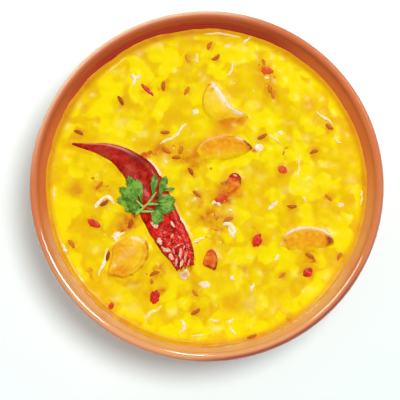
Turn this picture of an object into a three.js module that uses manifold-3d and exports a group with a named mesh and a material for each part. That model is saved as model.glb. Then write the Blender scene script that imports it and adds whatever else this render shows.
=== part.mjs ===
// A terracotta bowl of dal with its tempering: one dried red chilli, a coriander sprig,
// golden onion slices, tomato pieces, cumin seeds, chilli flakes and onion shreds.
// Millimetres, +Z up, the origin under the middle of the bowl's foot ring.

import * as THREE from 'three';
import { mergeVertices } from 'three/addons/utils/BufferGeometryUtils.js';
import Module from 'manifold-3d';

const wasm = await Module();
wasm.setup();

// ---- Driving dimensions ----

const RIM_RADIUS = 82.5; // outside of the lip
const BOWL_HEIGHT = 56;
const LIP_THICKNESS = 4.1;
const LIP_RISE = 2.2; // height of the rounded lip
const FOOT_RADIUS = 40;
const FOOT_WIDTH = 5;
const FOOT_HEIGHT = 4;
const FOOT_BEVEL = 0.8;
const UNDERSIDE_Z = 3; // hollow inside the foot ring
const FLOOR_Z = 7; // inner floor of the bowl
const FLOOR_REACH = 46; // how far the flat of the floor pulls the inner curve out
const INNER_SHOULDER = [69.5, 33]; // radius and height that the inner curve leans towards
const OUTER_BELLY = [60, 8]; // the same for the outer curve, low and high
const OUTER_SHOULDER = [75, 31];
const LIP_STEPS = 6; // faces over the rounded lip
const BOWL_SEGMENTS = 48; // faces round the bowl, a multiple of 4
const WALL_STEPS = 8; // faces up the wall

const DAL_DEPTH = 10; // from the rim down to the dal
const DAL_LEVEL = BOWL_HEIGHT - DAL_DEPTH;
const DAL_EDGE_RADIUS = 74.5; // where its surface meets the wall
const DAL_CELL = 4.2; // spacing of the surface grid
const MENISCUS_RISE = 0.7; // how far the dal climbs the wall
const MENISCUS_WIDTH = 4;
const SWELL_HEIGHT = 0.3; // slow swells of the surface
const SWELL_LENGTH = 6; // radian of a swell, in x and in y alike
const LENTIL_SPACING = 6.4; // soft lumps of split lentil
const LENTIL_HEIGHT = 0.95;
const LENTIL_LEAST = 0.4; // the lowest lump, as a share of the highest
const LENTIL_RADIUS = [0.5, 0.75]; // smallest and largest, as shares of the spacing
const LENTIL_JITTER = 0.6; // how far a lump strays in its cell

const GAP = 0.3; // between touching pieces

// The chilli's stations from the tip to the torn end: x, y and half the width there.
const CHILLI_STATIONS = [
  [-63.4, 20.2, 0.5],
  [-57.4, 18.9, 1.5],
  [-48.6, 17.4, 3.3],
  [-41.2, 14.4, 4.7],
  [-35.8, 10.3, 6.2],
  [-31.4, 5.9, 7.4],
  [-28.4, 0.5, 8.1],
  [-25.7, -5.5, 8.2],
  [-23.2, -11.5, 8.2],
  [-19.9, -18.1, 8.1],
  [-15.9, -25.2, 7.7],
  [-12.3, -31.7, 6.5],
  [-10.1, -38.0, 4.4],
];
const CHILLI_FLATNESS = 0.37; // how fast its thickness grows with its width
const CHILLI_SKIN = 0.3; // half the thickness where the width is nothing
const CHILLI_LIFT = 0.5; // its middle above the dal's level
const CHILLI_RINGS = 18;
const CHILLI_SIDES = 12;

const CHILLI_SEED_SIZE = [3.2, 2.5, 1.1]; // length, width, thickness
// Seeds in the torn end: how far along the chilli, and how far across it.
const CHILLI_SEEDS = [
  [0.8, 0.45],
  [0.85, -0.45],
  [0.9, 0.2],
  [0.93, -0.5],
  [0.96, 0.45],
  [0.97, -0.1],
];

// Coriander: the lobes of its leaflets, from base to tip, then the width, about the sprig's middle.
const SPRIG_CENTRE = [-26.8, -8.3];
const SPRIG_LOBES = [
  [-5.2, 0.0, -10.1, 12.1, 4.9],
  [-3.5, 0.0, -5.7, 10.7, 4.4],
  [-4.6, -0.5, -14.2, 7.1, 4.9],
  [-4.6, -1.6, -15.0, 2.2, 5.2],
  [-4.1, -1.6, -11.6, -2.7, 4.4],
  [-5.2, -0.2, -7.1, -4.9, 4.9],
  [1.7, 2.2, 2.2, 13.2, 3.5],
  [4.1, 2.2, 8.2, 12.2, 4.1],
  [5.2, 5.5, 11.8, 6.9, 1.9],
  [2.5, 0.0, 9.9, 3.1, 4.4],
  [3.0, -1.0, 12.4, 1.0, 4.9],
  [3.0, -2.1, 11.9, -2.6, 4.4],
  [2.5, -2.7, 9.3, -4.9, 3.3],
  [-0.8, -2.7, 6.6, -8.3, 4.9],
  [0.8, -4.9, 4.1, -10.1, 3.8],
];
const SPRIG_STALKS = [
  [-6.6, -6.0, 0.3, 0.3, 1.7],
  [-0.6, -0.6, 3.4, 5.0, 1.5],
  [-0.9, -0.9, 4.4, -0.9, 1.2],
  [-2.6, -2.4, -6.2, 1.2, 1.2],
  [-4.4, -4.2, 2.4, -4.4, 1.2],
];
const LOBE_HALF_SIDES = 5; // faces along half of a lobe's outline
const LEAF_THICKNESS = 0.6;
const LEAF_CELL = 2.6; // spacing of the leaf's grid
const LEAF_CLEARANCE = 0.5; // over what the leaf lies on
const LEAF_MARGIN = 1.6; // the leaf bends down this far outside the chilli
const LEAF_RIPPLE = 0.25;
const LEAF_RIPPLE_TURN = [0.9, 0.5]; // radians of ripple for a millimetre in x and in y
const LEAF_SHEET = [34, 30]; // the sheet that the leaf is cut from
const CHILLI_SAMPLES = 80;

// Soft golden slices of onion: middle, outline about the middle, thickness, lift and tilt.
const GOLDEN_SLICES = [
  {
    centre: [6.0, 38.3],
    outline: [
      [6.2, -0.5],
      [3.3, 3.3],
      [-1.4, 10.5],
      [-4.8, 10.7],
      [-7.6, 4.8],
      [-7.6, -1.0],
      [-3.3, -6.5],
      [2.4, -7.1],
      [8.1, -6.5],
      [13.2, -4.8],
    ],
    thickness: 4.2,
    lift: 0.4,
    tilt: [0.05, -0.07],
  },
  {
    centre: [9.8, 18.4],
    outline: [
      [11.9, -0.3],
      [5.7, 4.8],
      [-1.4, 5.6],
      [-8.4, 4.6],
      [-13.0, 1.6],
      [-15.0, -2.6],
      [-11.4, -5.8],
      [-5.2, -6.4],
      [0.6, -5.8],
      [7.0, -4.0],
    ],
    thickness: 4.4,
    lift: 0.3,
    tilt: [0.05, 0.04],
  },
  {
    centre: [-36.8, -34.0],
    outline: [
      [10.2, 1.9],
      [8.1, 9.0],
      [0.5, 10.0],
      [-7.2, 5.6],
      [-7.8, 0.6],
      [-9.6, -7.0],
      [-5.5, -9.0],
      [0.5, -9.5],
      [7.1, -4.8],
    ],
    thickness: 4.4,
    lift: 0.3,
    tilt: [0.05, -0.05],
  },
  {
    centre: [46.9, -25.9],
    outline: [
      [13.0, -0.8],
      [9.7, 4.8],
      [2.7, 6.5],
      [-4.3, 6.5],
      [-10.5, 2.9],
      [-13.1, -1.7],
      [-9.8, -4.3],
      [-4.9, -4.8],
      [2.7, -4.8],
      [9.7, -2.9],
    ],
    thickness: 4.4,
    lift: 0.4,
    tilt: [0.12, 0.0],
  },
];

// Cooked tomato pieces, laid like the slices.
const TOMATO_PIECES = [
  {
    centre: [12.2, 1.2],
    outline: [
      [3.8, -1.0],
      [4.4, 2.4],
      [1.9, 5.0],
      [-1.0, 4.3],
      [-2.6, 2.0],
      [-6.0, 0.6],
      [-5.4, -1.0],
      [-2.9, -1.8],
      [-2.2, -4.3],
      [1.2, -3.6],
    ],
    thickness: 3.4,
    lift: 0.4,
    tilt: [0.06, 0.0],
  },
  {
    centre: [1.7, -34.4],
    outline: [
      [3.5, -1.4],
      [3.0, 2.0],
      [0.9, 4.8],
      [-1.2, 3.8],
      [-3.0, 0.6],
      [-3.6, -2.8],
      [-0.8, -4.4],
      [2.2, -5.4],
    ],
    thickness: 3.4,
    lift: 0.4,
    tilt: [0.0, 0.06],
  },
];
const SLICE_SIDES = 18;
const SLICE_RINGS = 6;
const SLICE_FULLNESS = 0.6; // below 1 the rim of a slice is blunter

// Cumin seeds: x, y and turn in degrees.
const CUMIN_SIZE = [5.2, 1.7, 1.5];
const CUMIN_SEEDS = [
  [-20.4, 48.0, 90], [-40.9, 41.0, -60], [-60.6, 25.4, -25], [-19.6, 25.7, 0],
  [4.4, 62.0, 35], [-7.6, 6.9, -60], [-14.3, 13.5, 0], [-12.3, 17.2, 75],
  [-19.0, 17.0, -30], [26.3, 23.8, 30], [50.9, 16.2, 15], [58.3, 28.5, -35],
  [40.1, -9.3, 0], [57.3, -5.5, -45], [62.2, -33.1, 65], [48.2, -33.2, -30],
  [35.3, -41.8, 40], [-5.2, -59.0, 32], [-24.3, -41.5, 22], [-46.3, -33.1, 76],
  [-63.4, -27.5, -55], [-48.2, -7.9, 35], [-50.6, 0.5, 50], [-5.2, -50.4, -50],
  [-4.6, -3.9, -40], [1.8, 67.7, 60], [-9.3, 45.9, 60], [-8.9, 61.4, -70],
  [29.7, 46.9, -80], [31.4, 44.0, -78], [20.9, -70.6, 20], [10.3, -16.1, 20],
  [-35.8, -17.6, 70],
];

// Flakes of dried chilli: x, y, length, width and turn.
const FLAKE_THICKNESS = 1.4;
const FLAKES = [
  [-53.0, -17.6, 6.6, 3.4, -25], [-24.3, -52.2, 6.6, 4.8, 80], [23.5, -26.0, 6.2, 4.6, 70],
  [47.4, -40.7, 5.0, 4.4, 60], [36.0, 7.9, 4.2, 3.8, -40], [-28.3, 46.4, 7.6, 2.0, -42],
  [28.8, 55.4, 5.6, 3.8, 0], [-44.6, -56.6, 3.8, 2.6, 60], [7.1, -5.7, 6.4, 3.2, 28],
];

// Onion bits and shreds: x, y, length, width and turn.
const ONION_THICKNESS = 1.3;
const ONION_BITS = [
  [-33.9, 49.9, 7.0, 2.2, 55], [-4.6, 61.4, 4.2, 1.9, 90], [11.2, 57.0, 10.0, 2.0, 65],
  [24.7, 18.3, 4.2, 4.2, 0], [33.3, 22.2, 7.0, 2.2, -35], [31.3, -8.9, 5.8, 2.4, 48],
  [56.0, 33.0, 12.0, 1.8, -38], [12.0, -21.4, 6.4, 3.2, -75], [-0.7, -46.3, 5.4, 3.4, -20],
  [-10.3, -41.8, 5.2, 4.6, 20], [-14.9, 24.9, 8.0, 1.8, 38], [-42.0, -23.6, 4.4, 3.2, 60],
  [10.0, 67.3, 2.6, 2.2, 0],
];
const BIT_SIDES = 6;
const BIT_RINGS = 3;
const BIT_LIFT = 0.1; // a bit's middle above the dal, as a share of its thickness

// ---- Turning geometry into solids and back ----

function toSolid(geometry) {
  geometry.deleteAttribute('normal');
  geometry.deleteAttribute('uv');
  const merged = mergeVertices(geometry);
  const corners = merged.index.array;
  const faces = [];
  for (let i = 0; i < corners.length; i += 3) {
    const [a, b, c] = corners.slice(i, i + 3);
    if (a !== b && b !== c && c !== a) {
      faces.push(a, b, c);
    }
  }
  const vertProperties = merged.getAttribute('position').array;
  const triVerts = new Uint32Array(faces);
  return new wasm.Manifold(new wasm.Mesh({ numProp: 3, vertProperties, triVerts }));
}

function toMesh(name, solid, material) {
  const mesh = solid.getMesh();
  const geometry = new THREE.BufferGeometry();
  geometry.setAttribute('position', new THREE.BufferAttribute(mesh.vertProperties, 3));
  geometry.setIndex(new THREE.BufferAttribute(mesh.triVerts, 1));
  geometry.computeVertexNormals();
  const result = new THREE.Mesh(geometry, material);
  result.name = name;
  return result;
}

function moveVertices(geometry, move) {
  const position = geometry.getAttribute('position');
  const point = new THREE.Vector3();
  for (let i = 0; i < position.count; i += 1) {
    point.fromBufferAttribute(position, i);
    move(point);
    position.setXYZ(i, point.x, point.y, point.z);
  }
  return geometry;
}

function lathe(profile) {
  return toSolid(new THREE.LatheGeometry(profile, BOWL_SEGMENTS).rotateX(Math.PI / 2));
}

// ---- Helpers for shapes ----

const { lerp } = THREE.MathUtils;
const smooth = (x) => THREE.MathUtils.smoothstep(x, 0, 1);

// A number between 0 and 1 that is always the same for the same cell and salt.
function chance(i, j, salt) {
  const wave = Math.sin(i * 12.9898 + j * 78.233 + salt * 37.719) * 43758.5453;
  return wave - Math.floor(wave);
}

// ---- The bowl ----

const LIP_BASE_Z = BOWL_HEIGHT - LIP_RISE;
const INNER_RIM_RADIUS = RIM_RADIUS - LIP_THICKNESS;

const innerWall = new THREE.CubicBezierCurve(
  new THREE.Vector2(0, FLOOR_Z),
  new THREE.Vector2(FLOOR_REACH, FLOOR_Z),
  new THREE.Vector2(...INNER_SHOULDER),
  new THREE.Vector2(INNER_RIM_RADIUS, LIP_BASE_Z),
);

const outerWall = new THREE.CubicBezierCurve(
  new THREE.Vector2(FOOT_RADIUS, FOOT_HEIGHT),
  new THREE.Vector2(...OUTER_BELLY),
  new THREE.Vector2(...OUTER_SHOULDER),
  new THREE.Vector2(RIM_RADIUS, LIP_BASE_Z),
);

function makeBowl() {
  const footInside = FOOT_RADIUS - FOOT_WIDTH;
  const profile = [
    new THREE.Vector2(0, UNDERSIDE_Z),
    new THREE.Vector2(footInside - FOOT_BEVEL, UNDERSIDE_Z),
    new THREE.Vector2(footInside, UNDERSIDE_Z - FOOT_BEVEL),
    new THREE.Vector2(footInside, 0),
    new THREE.Vector2(FOOT_RADIUS - FOOT_BEVEL, 0),
    new THREE.Vector2(FOOT_RADIUS, FOOT_BEVEL),
    ...outerWall.getPoints(WALL_STEPS),
  ];
  const lipRadius = LIP_THICKNESS / 2;
  for (let i = 1; i < LIP_STEPS; i += 1) {
    const angle = (Math.PI * i) / LIP_STEPS;
    const r = RIM_RADIUS - lipRadius + lipRadius * Math.cos(angle);
    profile.push(new THREE.Vector2(r, LIP_BASE_Z + LIP_RISE * Math.sin(angle)));
  }
  profile.push(...innerWall.getPoints(WALL_STEPS).reverse());
  return lathe(profile);
}

// ---- The dal's surface ----

function lentilHeight(x, y) {
  const column = Math.floor(x / LENTIL_SPACING);
  const row = Math.floor(y / LENTIL_SPACING);
  let height = 0;
  for (let i = column - 1; i <= column + 1; i += 1) {
    for (let j = row - 1; j <= row + 1; j += 1) {
      const cx = (i + 0.5 + LENTIL_JITTER * (chance(i, j, 1) - 0.5)) * LENTIL_SPACING;
      const cy = (j + 0.5 + LENTIL_JITTER * (chance(i, j, 2) - 0.5)) * LENTIL_SPACING;
      const radius = LENTIL_SPACING * lerp(...LENTIL_RADIUS, chance(i, j, 3));
      const top = LENTIL_HEIGHT * lerp(LENTIL_LEAST, 1, chance(i, j, 4));
      const share = Math.hypot(x - cx, y - cy) / radius;
      height = Math.max(height, top * (1 - smooth(share)));
    }
  }
  return height;
}

function dalHeight(x, y) {
  const swell = SWELL_HEIGHT * Math.sin(x / SWELL_LENGTH + 0.7) * Math.cos(y / SWELL_LENGTH);
  const edge = smooth(1 + (Math.hypot(x, y) - DAL_EDGE_RADIUS) / MENISCUS_WIDTH);
  return DAL_LEVEL + swell + lentilHeight(x, y) * (1 - edge) + MENISCUS_RISE * edge ** 2;
}

function dalWallProfile() {
  const profile = [new THREE.Vector2(0, FLOOR_Z + GAP)];
  for (let i = 1; i <= WALL_STEPS; i += 1) {
    const point = innerWall.getPoint(i / WALL_STEPS);
    const along = innerWall.getTangent(i / WALL_STEPS);
    profile.push(new THREE.Vector2(point.x - along.y * GAP, point.y + along.x * GAP));
  }
  return profile;
}

function makeDalBody() {
  const profile = dalWallProfile();
  profile.push(new THREE.Vector2(0, profile.at(-1).y));
  return lathe(profile);
}

// A block whose top is the dal's uneven surface.
function makeSurfaceBlock() {
  const cells = 2 * Math.ceil(INNER_RIM_RADIUS / DAL_CELL);
  const width = cells * DAL_CELL;
  const block = new THREE.BoxGeometry(width, width, DAL_LEVEL, cells, cells, 1);
  moveVertices(block, (point) => {
    point.z = point.z > 0 ? dalHeight(point.x, point.y) : 0;
  });
  return toSolid(block);
}

// Height of the block's faceted top, between its grid's corners.
function surfaceHeight(x, y) {
  const left = Math.floor(x / DAL_CELL) * DAL_CELL;
  const front = Math.floor(y / DAL_CELL) * DAL_CELL;
  const right = left + DAL_CELL;
  const back = front + DAL_CELL;
  const share = (x - left) / DAL_CELL;
  const near = lerp(dalHeight(left, front), dalHeight(right, front), share);
  const far = lerp(dalHeight(left, back), dalHeight(right, back), share);
  return lerp(near, far, (y - front) / DAL_CELL);
}

// A seed, flake or shred lying on the dal, as a small ellipsoid of few faces.
function makeBit(x, y, length, width, thickness, degrees) {
  const bit = new THREE.SphereGeometry(1, BIT_SIDES, BIT_RINGS);
  bit.rotateZ(Math.PI / 2);
  bit.scale(length / 2, width / 2, thickness / 2);
  bit.rotateZ(THREE.MathUtils.degToRad(degrees));
  bit.translate(x, y, surfaceHeight(x, y) + BIT_LIFT * thickness);
  return toSolid(bit);
}

function makeBits() {
  const bits = CUMIN_SEEDS.map(([x, y, turn]) => makeBit(x, y, ...CUMIN_SIZE, turn));
  for (const [x, y, length, width, turn] of FLAKES) {
    bits.push(makeBit(x, y, length, width, FLAKE_THICKNESS, turn));
  }
  for (const [x, y, length, width, turn] of ONION_BITS) {
    bits.push(makeBit(x, y, length, width, ONION_THICKNESS, turn));
  }
  return bits;
}

// ---- The chilli ----

const chilliLine = new THREE.CatmullRomCurve3(
  CHILLI_STATIONS.map(([x, y, halfWidth]) => new THREE.Vector3(x, y, halfWidth)),
);
const chilliMiddleZ = DAL_LEVEL + CHILLI_LIFT;
const chilliHalfHeight = (halfWidth) => halfWidth * CHILLI_FLATNESS + CHILLI_SKIN;

function makeChilliPod(inflate) {
  const pod = new THREE.CylinderGeometry(1, 1, 1, CHILLI_SIDES, CHILLI_RINGS);
  moveVertices(pod, (point) => {
    const t = point.y + 0.5;
    const station = chilliLine.getPoint(t);
    const along = chilliLine.getTangent(t).setZ(0).normalize();
    const across = point.x * (station.z + inflate);
    const up = point.z * (chilliHalfHeight(station.z) + inflate);
    const past = Math.abs(point.y) === 0.5 ? inflate * Math.sign(point.y) : 0;
    point.x = station.x + along.y * across + along.x * past;
    point.y = station.y - along.x * across + along.y * past;
    point.z = chilliMiddleZ + up;
  });
  return toSolid(pod);
}

function makeChilliSeed([t, side]) {
  const station = chilliLine.getPoint(t);
  const along = chilliLine.getTangent(t).setZ(0).normalize();
  const [length, width, thickness] = CHILLI_SEED_SIZE;
  const across = side * station.z;
  const seed = new THREE.SphereGeometry(1, BIT_SIDES, BIT_RINGS).rotateZ(Math.PI / 2);
  seed.scale(length / 2, width / 2, thickness / 2);
  seed.rotateZ(Math.atan2(along.y, along.x) + side);
  const rise = chilliHalfHeight(station.z) * Math.sqrt(1 - side * side);
  seed.translate(station.x + along.y * across, station.y - along.x * across, chilliMiddleZ + rise);
  return toSolid(seed);
}

function makeChilli() {
  return CHILLI_SEEDS.reduce((pod, seed) => pod.add(makeChilliSeed(seed)), makeChilliPod(0));
}

// Top of a slightly wider chilli over a point, or the dal's level beside it.
function chilliTop(x, y) {
  let top = DAL_LEVEL;
  for (const station of chilliLine.getPoints(CHILLI_SAMPLES)) {
    const reach = Math.hypot(x - station.x, y - station.y) / (station.z + LEAF_MARGIN);
    if (reach < 1) {
      const rise = chilliHalfHeight(station.z) * Math.sqrt(1 - reach * reach);
      top = Math.max(top, chilliMiddleZ + rise);
    }
  }
  return top;
}

// ---- The coriander sprig ----

// An upright prism over a lobe: an ellipse from base to tip.
function makeLobe([x0, y0, x1, y1, width]) {
  const length = Math.hypot(x1 - x0, y1 - y0);
  const outline = new THREE.Shape();
  outline.absellipse(0, 0, length / 2, width / 2, 0, 2 * Math.PI);
  const lobe = new THREE.ExtrudeGeometry(outline, {
    depth: BOWL_HEIGHT,
    bevelEnabled: false,
    curveSegments: LOBE_HALF_SIDES,
  });
  lobe.rotateZ(Math.atan2(y1 - y0, x1 - x0));
  lobe.translate(SPRIG_CENTRE[0] + (x0 + x1) / 2, SPRIG_CENTRE[1] + (y0 + y1) / 2, 0);
  return toSolid(lobe);
}

function leafHeight(x, y) {
  const below = Math.max(dalHeight(x, y), chilliTop(x, y));
  const turn = x * LEAF_RIPPLE_TURN[0] + y * LEAF_RIPPLE_TURN[1];
  return below + LEAF_CLEARANCE + LEAF_RIPPLE * (1 + Math.sin(turn));
}

// A thin wavy sheet over the whole sprig, both faces on one grid.
function makeLeafSheet() {
  const [width, depth] = LEAF_SHEET;
  const columns = Math.round(width / LEAF_CELL);
  const rows = Math.round(depth / LEAF_CELL);
  const sheet = new THREE.BoxGeometry(width, depth, 1, columns, rows, 1);
  moveVertices(sheet, (point) => {
    const upper = point.z > 0;
    point.x += SPRIG_CENTRE[0];
    point.y += SPRIG_CENTRE[1];
    point.z = leafHeight(point.x, point.y) + (upper ? LEAF_THICKNESS : 0);
  });
  return toSolid(sheet);
}

function makeSprig() {
  const lobes = [...SPRIG_LOBES, ...SPRIG_STALKS].map(makeLobe);
  const outline = lobes.reduce((all, lobe) => all.add(lobe));
  return outline.intersect(makeLeafSheet());
}

// ---- Slices and tomato pieces ----

// A soft blunt-edged slice: a ball drawn out to the outline, then tilted and laid on the dal.
function makeSlice({ centre, outline, thickness, lift, tilt }, inflate) {
  const points = outline.map(([x, y]) => new THREE.Vector3(x, y, 0));
  const edge = new THREE.CatmullRomCurve3(points, true);
  const slice = new THREE.SphereGeometry(1, SLICE_SIDES, SLICE_RINGS);
  slice.rotateX(Math.PI / 2);
  moveVertices(slice, (point) => {
    const turn = Math.atan2(point.y, point.x) / (2 * Math.PI);
    const rim = edge.getPoint((turn + 1) % 1);
    const reach = rim.length();
    const spread = Math.hypot(point.x, point.y) ** SLICE_FULLNESS * (1 + inflate / reach);
    point.x = rim.x * spread;
    point.y = rim.y * spread;
    point.z = point.z * (thickness / 2 + inflate) + point.x * tilt[1] + point.y * tilt[0];
  });
  slice.translate(centre[0], centre[1], DAL_LEVEL + lift);
  return toSolid(slice);
}

// ---- Putting it together ----

function makeDal(pockets) {
  const core = makeDalBody().intersect(makeSurfaceBlock());
  const clearBits = makeBits().filter((bit) => bit.intersect(pockets).isEmpty());
  const dressed = clearBits.reduce((all, bit) => all.add(bit), core);
  return dressed.subtract(pockets);
}

function finish(color, roughness, metalness = 0) {
  return new THREE.MeshStandardMaterial({ color, roughness, metalness });
}

const terracotta = finish(0xd47a52, 0.35);
const lentils = finish(0xf8d414, 0.35);
const driedChilli = finish(0xa81e1c, 0.4);
const coriander = finish(0x5a9a3c, 0.55);
const goldenOnion = finish(0xf4b428, 0.35);
const cookedTomato = finish(0xdc5a28, 0.4);

const pockets = [
  makeChilliPod(GAP),
  ...GOLDEN_SLICES.map((slice) => makeSlice(slice, GAP)),
  ...TOMATO_PIECES.map((piece) => makeSlice(piece, GAP)),
].reduce((all, pocket) => all.add(pocket));

const dalBowl = new THREE.Group();
dalBowl.add(toMesh('bowl', makeBowl(), terracotta));
dalBowl.add(toMesh('dal', makeDal(pockets), lentils));
dalBowl.add(toMesh('chilli', makeChilli(), driedChilli));
dalBowl.add(toMesh('coriander_sprig', makeSprig(), coriander));
GOLDEN_SLICES.forEach((slice, i) => {
  dalBowl.add(toMesh(`golden_slice_${i + 1}`, makeSlice(slice, 0), goldenOnion));
});
TOMATO_PIECES.forEach((piece, i) => {
  dalBowl.add(toMesh(`tomato_piece_${i + 1}`, makeSlice(piece, 0), cookedTomato));
});

export default dalBowl;
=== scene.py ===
import math
import random

import bmesh
import bpy
import numpy as np
from mathutils import Matrix, Vector, noise


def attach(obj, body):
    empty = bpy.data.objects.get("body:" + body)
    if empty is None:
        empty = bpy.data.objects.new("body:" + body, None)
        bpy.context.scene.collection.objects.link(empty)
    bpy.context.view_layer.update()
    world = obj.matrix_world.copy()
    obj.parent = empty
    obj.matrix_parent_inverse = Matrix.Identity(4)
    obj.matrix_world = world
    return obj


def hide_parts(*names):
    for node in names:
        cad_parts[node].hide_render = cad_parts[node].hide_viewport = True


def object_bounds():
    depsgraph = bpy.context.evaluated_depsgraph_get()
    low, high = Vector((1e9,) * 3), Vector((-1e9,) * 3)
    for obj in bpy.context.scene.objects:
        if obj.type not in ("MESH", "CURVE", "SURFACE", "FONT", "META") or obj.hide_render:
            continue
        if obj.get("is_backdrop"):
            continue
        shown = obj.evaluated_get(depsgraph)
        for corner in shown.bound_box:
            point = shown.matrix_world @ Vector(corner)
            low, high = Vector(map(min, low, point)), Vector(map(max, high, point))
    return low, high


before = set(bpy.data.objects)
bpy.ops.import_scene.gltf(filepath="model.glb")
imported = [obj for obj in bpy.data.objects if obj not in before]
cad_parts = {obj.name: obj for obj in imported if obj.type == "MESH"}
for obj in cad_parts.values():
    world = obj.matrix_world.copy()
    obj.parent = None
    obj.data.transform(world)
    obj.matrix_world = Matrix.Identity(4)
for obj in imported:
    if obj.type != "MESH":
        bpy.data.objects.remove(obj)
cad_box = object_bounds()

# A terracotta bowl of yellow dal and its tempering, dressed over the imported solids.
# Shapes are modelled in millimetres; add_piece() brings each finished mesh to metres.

MM = 0.001

# ---- Sizes shared with the solids ----

RIM_RADIUS = 82.5
BOWL_HEIGHT = 56.0
LIP_THICKNESS = 4.1
LIP_RISE = 2.2
FOOT_RADIUS = 40.0
FOOT_WIDTH = 5.0
FOOT_HEIGHT = 4.0
FOOT_BEVEL = 0.8
UNDERSIDE_Z = 3.0
FLOOR_Z = 7.0
LIP_BASE_Z = BOWL_HEIGHT - LIP_RISE
INNER_RIM_RADIUS = RIM_RADIUS - LIP_THICKNESS
CREST_RADIUS = 80.9  # the lip is highest here, and rounds off to both sides
INNER_WALL = ((0.0, FLOOR_Z), (46.0, FLOOR_Z), (69.5, 33.0), (INNER_RIM_RADIUS, LIP_BASE_Z))
OUTER_WALL = ((FOOT_RADIUS, FOOT_HEIGHT), (60.0, 8.0), (75.0, 31.0), (RIM_RADIUS, LIP_BASE_Z))

DAL_LEVEL = 46.0
DAL_EDGE_RADIUS = 74.5
MENISCUS_RISE = 0.7
MENISCUS_WIDTH = 4.0
FILM_RISE = 0.5  # thin sauce drawn up the wall
FILM_WIDTH = 1.6
FILM_WANDER = 1.9  # how much further it reaches in places
SWELL_HEIGHT = 0.3
SWELL_LENGTH = 6.0
LUMP_SPACING = 6.4
LUMP_HEIGHT = 0.95
LUMP_LEAST = 0.4
LUMP_RADIUS = (0.5, 0.75)
LUMP_JITTER = 0.6

# The chilli from its tip to its torn end: x, y and half the width there.
CHILLI_STATIONS = [
    (-63.4, 20.2, 0.5), (-57.4, 18.9, 1.5), (-48.6, 17.4, 3.3), (-41.2, 14.4, 4.7), (-35.8, 10.3, 6.2),
    (-31.4, 5.9, 7.4), (-28.4, 0.5, 8.1), (-25.7, -5.5, 8.2), (-23.2, -11.5, 8.2), (-19.9, -18.1, 8.1),
    (-15.9, -25.2, 7.7), (-12.3, -31.7, 6.5), (-10.1, -38, 4.4),
]
CHILLI_FLATNESS = 0.37
CHILLI_SKIN = 0.3
CHILLI_MIDDLE_Z = DAL_LEVEL + 0.5

SPRIG_CENTRE = (-26.8, -8.3)
# Leaf lobes about the sprig's centre: base, tip and width.
SPRIG_LOBES = [
    (-5.2, 0, -10.1, 12.1, 4.9), (-3.5, 0, -5.7, 10.7, 4.4), (-4.6, -0.5, -14.2, 7.1, 4.9),
    (-4.6, -1.6, -15, 2.2, 5.2), (-4.1, -1.6, -11.6, -2.7, 4.4), (-5.2, -0.2, -7.1, -4.9, 4.9),
    (1.7, 2.2, 2.2, 13.2, 3.5), (4.1, 2.2, 8.2, 12.2, 4.1), (5.2, 5.5, 11.8, 6.9, 1.9),
    (2.5, 0, 9.9, 3.1, 4.4), (3, -1, 12.4, 1, 4.9), (3, -2.1, 11.9, -2.6, 4.4),
    (2.5, -2.7, 9.3, -4.9, 3.3), (-0.8, -2.7, 6.6, -8.3, 4.9), (0.8, -4.9, 4.1, -10.1, 3.8),
]
SPRIG_STALKS = [
    (-6.6, -6, 0.3, 0.3), (-0.6, -0.6, 3.4, 5), (-0.9, -0.9, 4.4, -0.9), (-2.6, -2.4, -6.2, 1.2),
    (-4.4, -4.2, 2.4, -4.4),
]

# Slices and tomato pieces: middle, outline about it, thickness, lift and tilt.
SLICES = {
    "golden_slice_1": (
        (6, 38.3),
        [(6.2, -0.5), (3.3, 3.3), (-1.4, 10.5), (-4.8, 10.7), (-7.6, 4.8), (-7.6, -1),
         (-3.3, -6.5), (2.4, -7.1), (8.1, -6.5), (13.2, -4.8)],
        4.2, 0.4, (0.05, -0.07),
    ),
    "golden_slice_2": (
        (9.8, 18.4),
        [(11.9, -0.3), (5.7, 4.8), (-1.4, 5.6), (-8.4, 4.6), (-13, 1.6), (-15, -2.6),
         (-11.4, -5.8), (-5.2, -6.4), (0.6, -5.8), (7, -4)],
        4.4, 0.3, (0.05, 0.04),
    ),
    "golden_slice_3": (
        (-36.8, -34),
        [(10.2, 1.9), (8.1, 9), (0.5, 10), (-6.9, 5.6), (-7.3, 0.6), (-9.4, -7),
         (-5.5, -9), (0.5, -9.5), (7.1, -4.8)],
        4.4, 0.3, (0.05, -0.05),
    ),
    "golden_slice_4": (
        (46.9, -25.9),
        [(13, -0.8), (9.7, 4.8), (2.7, 6.5), (-4.3, 6.5), (-10.5, 2.9), (-13.1, -1.7),
         (-9.8, -4.3), (-4.9, -4.8), (2.7, -4.8), (9.7, -2.9)],
        4.4, 0.4, (0.12, 0),
    ),
    "tomato_piece_1": (
        (12.2, 1.2),
        [(3.8, -1), (4.4, 2.4), (1.9, 5), (-1, 4.3), (-2.6, 2), (-6, 0.6),
         (-5.4, -1), (-2.9, -1.8), (-2.2, -4.3), (1.2, -3.6)],
        3.4, 0.4, (0.06, 0),
    ),
    "tomato_piece_2": (
        (1.7, -34.4),
        [(3.5, -1.4), (3, 2), (0.9, 4.8), (-1.2, 3.8), (-3, 0.6), (-3.6, -2.8),
         (-0.8, -4.4), (2.2, -5.4)],
        3.4, 0.4, (0, 0.06),
    ),
}
SLICE_FULLNESS = 0.6

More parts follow.
